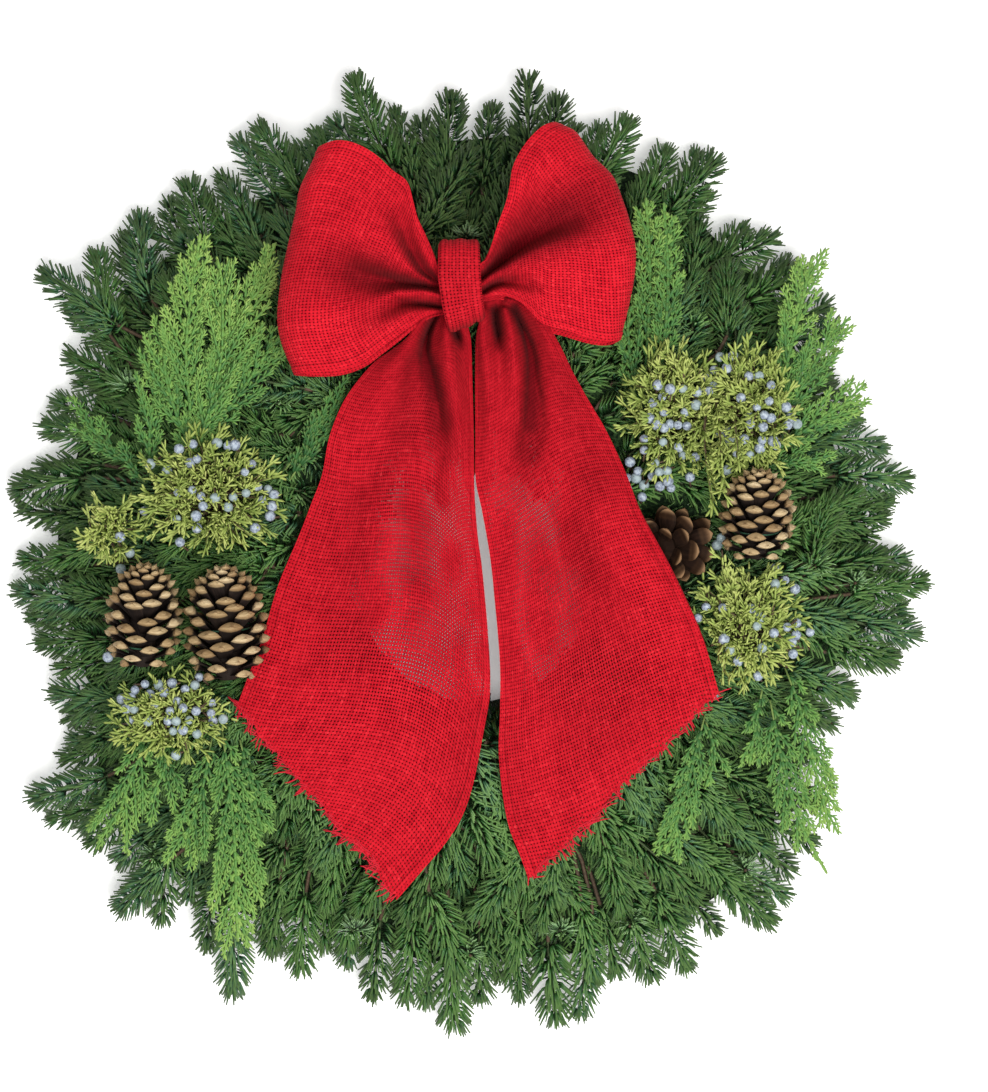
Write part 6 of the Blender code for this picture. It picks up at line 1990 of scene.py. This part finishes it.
def painted_shade_mass(soup, first, last, mat):
    """One bunch's share of the mass, a closed dark body that stands in for the shade deep in the foliage."""
    n = 34
    grid = deep_points(np.linspace(first + 0.03, last - 0.03, n))
    k = grid.shape[1]
    ends = np.stack([grid[0].mean(0), grid[-1].mean(0)])
    verts = np.concatenate([grid.reshape(-1, 3), ends])
    tris, uvs = [], []
    for i in range(n - 1):
        for j in range(k):
            a0, a1, b0, b1 = i * k + j, i * k + (j + 1) % k, (i + 1) * k + j, (i + 1) * k + (j + 1) % k
            c = [(i / (n - 1), j / k), (i / (n - 1), (j + 1) / k), ((i + 1) / (n - 1), (j + 1) / k), ((i + 1) / (n - 1), j / k)]
            tris += [(a0, a1, b1), (a0, b1, b0)]
            uvs += [(c[0], c[1], c[2]), (c[0], c[2], c[3])]
    for j in range(k):
        tris += [(n * k, (j + 1) % k, j), (n * k + 1, (n - 1) * k + j, (n - 1) * k + (j + 1) % k)]
        uvs += [((0, j / k), (0, (j + 1) / k), (0.01, j / k)), ((1, j / k), (1, (j + 1) / k), (0.99, j / k))]
    tris, uvs = np.array(tris), np.array(uvs)
    mid = verts.mean(0)
    vol = np.einsum("ij,ij->i", verts[tris[:, 0]] - mid, np.cross(verts[tris[:, 1]] - mid, verts[tris[:, 2]] - mid)).sum()
    if vol < 0:
        tris, uvs = tris[:, ::-1], uvs[:, ::-1]
    soup.add(verts, tris, 0.01 + 0.98 * uvs, mat)


def keep_needles(base, d0, d1, n, L, w, cls, row):
    keep = np.ones(len(base), bool)
    for s in (0.3, 0.65, 1.0):
        p = along_needle(base, d0, d1, L, s)
        keep &= p[:, 2] < lid_at(p) - 2.0
        keep &= p[:, 2] > 1.2
        keep &= np.linalg.norm(p[:, :2] - HOLE, axis=1) > HOLE_R - 4.0
        keep &= clear_of_cones(p)
    # clear of the rails underneath
    p = along_needle(base, d0, d1, L, 0.7)
    rr = np.hypot(p[:, 0], p[:, 1])
    keep &= ~((rr > 140) & (rr < 166) & (p[:, 2] < 9))
    return keep


arrays = [sinks[i].arrays() for i in range(12)]
arrays = [[x[k_] for x in arr] for arr in arrays for k_ in [keep_needles(*arr)]]
every = [np.concatenate(x) for x in zip(*arrays)]
owner = np.concatenate([np.full(len(a[0]), i) for i, a in enumerate(arrays)])
samples = np.stack([along_needle(every[0], every[1], every[2], every[4], s) for s in np.linspace(0.1, 1.0, 9)], 1)
show = seen(samples, block=block)
print("needles made", len(show), "kept", int(show.sum()))
for i, seam in enumerate(SEAMS):
    arr = [x[show & (owner == i)] for x in every]
    s = Soup()
    needle_mesh(s, *arr)
    # twigs of the shoots, and the branches that join them to the cut stems in the clamp
    lines = np.array(shoot_lines[i])
    rad = np.repeat(np.linspace(1.25, 0.7, lines.shape[1])[None], len(lines), 0)
    v_, t_, s_ = tubes(lines, rad, 4)
    s.batch(v_, t_, plain_uv(s_, len(lines)), 3)
    a = math.radians(seam + 4.0)
    along = np.array([-math.sin(a), math.cos(a), 0.0])
    heart = np.array([153 * math.cos(a), 153 * math.sin(a), 20.0])
    branches = []
    for ln in lines:
        foot = ln[0]
        gap = np.linalg.norm(foot - heart)
        out = heart + np.array([rng_f.normal(0, 3.0), rng_f.normal(0, 3.0), rng_f.normal(0, 3.0)])
        c1 = out + along * min(gap * 0.35, 25)
        c2 = foot - unit(ln[1] - ln[0]) * gap * 0.3
        c1[2] = max(c1[2], 12.0)
        c2[2] = max(c2[2], 8.0)
        q = np.linspace(0, 1, 6)[:, None]
        branches.append((1 - q) ** 3 * out + 3 * q * (1 - q) ** 2 * c1 + 3 * q ** 2 * (1 - q) * c2 + q ** 3 * foot)
    branches = np.array(branches)
    v_, t_, s_ = tubes(branches, np.repeat(np.linspace(2.0, 1.25, 6)[None], len(branches), 0), 4)
    s.batch(v_, t_, plain_uv(s_, len(branches)), 1)
    # the bundle of cut stems in the clamp
    rods = []
    for k in range(9):
        ang = 2 * np.pi * k / 8
        rr = 5.6 if k < 8 else 0.0
        st = math.radians(seam - 9.5 + rng_f.uniform(-1.2, 1.2))
        en = math.radians(seam + 5.0)
        mid_ = math.radians(seam - 4.0)
        pts = []
        for q, (ar, spread) in enumerate(((st, 1.0), (mid_, 0.95), (math.radians(seam), 0.9), (en, 0.8))):
            R_ = 153 + rr * spread * math.cos(ang)
            pts.append((R_ * math.cos(ar), R_ * math.sin(ar), 18.7 + rr * spread * math.sin(ang) + (2.0 if q == 3 else 0)))
        rods.append(at_share(smooth_line(pts, 5), np.linspace(0, 1, 8)))
    rods = np.array(rods)
    v_, t_, s_ = tubes(rods, np.full((9, 8), 2.55), 7)
    mats = np.where((s_[..., 0].max(axis=-1) <= 0.021) | (s_[..., 0].min(axis=-1) >= 0.979), 2, 1)
    n_before = s.n
    s.batch(v_, t_[mats == 1], plain_uv(s_, len(rods))[:, mats == 1], 1)
    # the cut ends use the same points, so that the surface stays joined
    tt = (t_[mats == 2][None] + (np.arange(len(rods)) * v_.shape[1])[:, None, None]).reshape(-1, 3) + n_before
    s.t.append(tt)
    s.uv.append(plain_uv(s_, len(rods))[:, mats == 2].reshape(-1, 3, 2))
    s.m.append(np.full(len(tt), 2, np.int32))
    # buds
    for p, d in bud_at[i]:
        q = np.linspace(0, 1, 3)
        ln = (p + d * (q * 4.2 - 0.6)[:, None])[None]
        v_, t_, s_ = tubes(ln, np.array([[0.7, 1.4, 0.3]]), 5)
        s.batch(v_, t_, plain_uv(s_, 1), 1)
    # painted shade: a dark body fills the deep inside of the bunch
    painted_shade_mass(s, seam, SEAMS[(i + 1) % 12] + (360 if i == 11 else 0), 4)
    s.piece(f"fir_{i + 1:02d}_needles", [FIR_MAT, BARK, CUT_WOOD, NEW_TWIG, SHADE_MASS_MAT], (f"fir_bunch_{i + 1:02d}",), "fir_foliage")


# ------------------------------------------------------------------- the wires
def wire_piece(name, pts, r, closed, mat, slot):
    pts = np.asarray(pts, float)
    s = Soup()
    if closed:
        n, sides = len(pts), 12
        tan = unit(np.roll(pts, -1, 0) - np.roll(pts, 1, 0))
        side = unit(np.cross(tan, [0, 0, 1.0]))
        up = np.cross(side, tan)
        ph = 2 * np.pi * np.arange(sides) / sides
        v = pts[:, None] + r * (side[:, None] * np.cos(ph)[None, :, None] + up[:, None] * np.sin(ph)[None, :, None])
        tris, uvs = [], []
        for i in range(n):
            for j in range(sides):
                a0, a1 = i * sides + j, i * sides + (j + 1) % sides
                b0, b1 = ((i + 1) % n) * sides + j, ((i + 1) % n) * sides + (j + 1) % sides
                tris += [(a0, a1, b1), (a0, b1, b0)]
                c = [(i / n, j / sides), (i / n, (j + 1) / sides), ((i + 1) / n, (j + 1) / sides), ((i + 1) / n, j / sides)]
                uvs += [(c[0], c[1], c[2]), (c[0], c[2], c[3])]
        v, tris, uvs = v.reshape(-1, 3), np.array(tris), np.array(uvs)
        vol = np.einsum("ij,ij->i", v[tris[:, 0]], np.cross(v[tris[:, 1]], v[tris[:, 2]])).sum()
        if vol < 0:
            tris, uvs = tris[:, ::-1], uvs[:, ::-1]
        s.add(v, tris, 0.01 + 0.98 * uvs)
    else:
        v, t, su = tubes(pts[None], np.full((1, len(pts)), r), 10)
        s.batch(v, t, plain_uv(su, 1))
    return s.piece(f"{name}_round", [mat], (name,), slot)


a = np.radians(np.arange(0, 360, 2.5))
for name, R in (("ring_wire_inner", 144.0), ("ring_wire_outer", 162.0)):
    wire_piece(name, np.stack([R * np.cos(a), R * np.sin(a), 0 * a + 4.75], -1), 1.75, True, RING_MAT, "ring_wire")
CLAMP_SHAPE = ((2.9, 30.6), (7.0, 30.4), (10.2, 28.6), (11.6, 25.0), (11.9, 18.0), (11.5, 11.5),
               (9.0, 8.1), (0.0, 8.1), (-9.0, 8.1), (-11.5, 11.5), (-11.9, 18.0), (-11.6, 25.0),
               (-10.2, 28.6), (-7.0, 30.4), (-2.9, 30.6))
for i, seam in enumerate(SEAMS):
    ar = math.radians(seam - 4.0)
    shape = smooth_line(CLAMP_SHAPE, 4)
    pts = np.stack([(153 + shape[:, 0]) * math.cos(ar), (153 + shape[:, 0]) * math.sin(ar), shape[:, 1]], -1)
    wire_piece(f"clamp_{i + 1:02d}", pts, 1.25, False, RING_MAT, "ring_wire")
# each cone's wire, drawn down between its scales, with the same legs and hook as its solid
for i, ((centre, _, length, radius), d, seam, rail, groove, prof) in enumerate(zip(
        CONES, ((0.05, 1.0, 0.22), (-0.03, 1.0, 0.16), (0.20, 0.12, -1.0), (0.04, 1.0, 0.25)),
        (196.0, 196.0, 5.0, 5.0), (162.0, 144.0, 144.0, 162.0), (0.24, 0.49, 0.55, 0.36), (0.952, 0.953, 0.913, 0.992))):
    d = unit(np.array(d))
    side = unit(np.cross(d, [0, 0, 1.0]))
    up = np.cross(side, d)
    c = np.array(centre, float) + d * (groove - 0.5) * length
    if i == 2:
        radius = 28.0
    r_out = prof * radius - 2.4
    upright = abs(d[2]) > 0.8
    inward = np.array([-1, 0.09, 0])
    end = math.degrees(math.atan2(inward @ up, inward @ side)) if upright else 250.0
    pts = []
    for k in range(23):
        phi = math.radians(end - 322 * (22 - k) / 22)
        pts.append(c + (side * math.cos(phi) + up * math.sin(phi)) * (r_out - 7.0))
    last = c + (side * math.cos(phi) + up * math.sin(phi)) * (r_out + 6.2)
    pts.append(last)
    out = np.array([math.cos(math.radians(seam)), math.sin(math.radians(seam)), 0])
    reach = last @ out
    line = 153.0 + 14.5 if rail == 162.0 else 153.0 - 14.5
    start = min(55.5, last[2] - 0.8)
    if upright:
        legs = [(reach, last[2] - 4), (reach + 6, 32), (0.5 * (reach + line), 17), (line, 8.5)]
    else:
        legs = [(reach, start), (line + 0.4 * (reach - line), 34.5 + 0.6 * (start - 34.5)), (line, 34.5), (line, 20), (line, 9)]
    sg, gap = (1 if rail == 162.0 else -1), 3.35
    legs += [(rail + sg * gap, 5.75), (rail + sg * gap * 0.86, 4.75 - gap * 0.55), (rail + sg * gap * 0.28, 4.75 - gap),
             (rail - sg * gap * 0.35, 4.75 - gap), (rail - sg * gap * 0.90, 4.75 - gap * 0.5), (rail - sg * gap, 5.35)]
    pts += [out * q + np.array([0, 0, z]) for q, z in legs]
    wire_piece(f"cone_wire_{i + 1:02d}", smooth_line(pts, 4), 0.6, False, TIE_MAT, "tie_wire")
for name, obj in frame["nodes"].items():
    if name == "bow_wire":
        obj.data.materials.clear()
        obj.data.materials.append(TIE_MAT)


def deepen(mat, k):
    """Multiplies a finished material's colour by k."""
    k = k if isinstance(k, tuple) else (k, k, k)
    nt = mat.node_tree
    for sh in [n for n in nt.nodes if n.type == "BSDF_PRINCIPLED"]:
        sock = sh.inputs["Base Color"]
        if sock.is_linked:
            src = sock.links[0].from_socket
            mix = nt.nodes.new("ShaderNodeMix")
            mix.data_type, mix.blend_type = "RGBA", "MULTIPLY"
            mix.inputs[0].default_value = 1.0
            mix.inputs[7].default_value = k + (1.0,)
            nt.links.new(src, mix.inputs[6])
            nt.links.new(mix.outputs[2], sock)


for mat in [m for m in bpy.data.materials if m.use_nodes]:
    n_ = mat.name
    # painted light and shade: the same burlap is darkened least on the loops and most on the knot, with the tails
    # between
    deepen(mat, 0.93 if "burlap_loop" in n_ else 0.75 if n_ == "burlap_knot" else 0.80 if "burlap" in n_ else 0.88 if "cedar" in n_ else 0.90 if "juniper" in n_ else (0.66, 0.73, 0.62) if n_ == "fir_needles" else 0.50 if n_ == "pine_cone_inside" else 0.80)


# ------------------------------------------------------------ floor and light
floor_mat, nt, sh = nodes_of("pale_floor")
g = Graph(nt)
n = g.noise(g.position(), 3.0, 3.0, 0.5)
nt.links.new(g.ramp(n, [(0.3, (0.92, 0.915, 0.92)), (0.7, (0.94, 0.935, 0.94))]), sh.inputs["Base Color"])
sh.inputs["Roughness"].default_value = 0.9
sh.inputs["Specular IOR Level"].default_value = 0.1
sh.inputs["Emission Color"].default_value = (1.0, 1.0, 1.0, 1.0)
sh.inputs["Emission Strength"].default_value = 0.20
mesh = bpy.data.meshes.new("floor")
mesh.from_pydata([(-12, -12, 0), (12, -12, 0), (12, 12, 0), (-12, 12, 0)], [], [(0, 1, 2, 3)])
mesh.materials.append(floor_mat)
floor = bpy.data.objects.new("floor", mesh)
bpy.context.scene.collection.objects.link(floor)
floor.location.z = -0.0006


def area_light(name, place, target, size, power, colour=(1, 1, 1)):
    data = bpy.data.lights.new(name, "AREA")
    data.shape = "DISK"
    data.size = size
    data.energy = power
    data.color = colour
    obj = bpy.data.objects.new(name, data)
    bpy.context.scene.collection.objects.link(obj)
    obj.location = place
    from mathutils import Vector
    obj.rotation_euler = (Vector(target) - Vector(place)).to_track_quat("-Z", "Y").to_euler()
    obj.visible_camera = False
    return obj


area_light("key", (0.55, -0.80, 2.90), (0, 0, 0.03), 2.1, 130.0, (1.0, 0.99, 0.97))
area_light("fill", (-1.2, 1.4, 3.0), (0, 0, 0.03), 1.8, 18.0, (0.97, 0.985, 1.0))
world = bpy.data.worlds.new("world")
bpy.context.scene.world = world
world.use_nodes = True
world.node_tree.nodes["Background"].inputs["Color"].default_value = (1.0, 1.0, 1.0, 1.0)
world.node_tree.nodes["Background"].inputs["Strength"].default_value = 0.27
bpy.context.scene.view_settings.view_transform = "Standard"
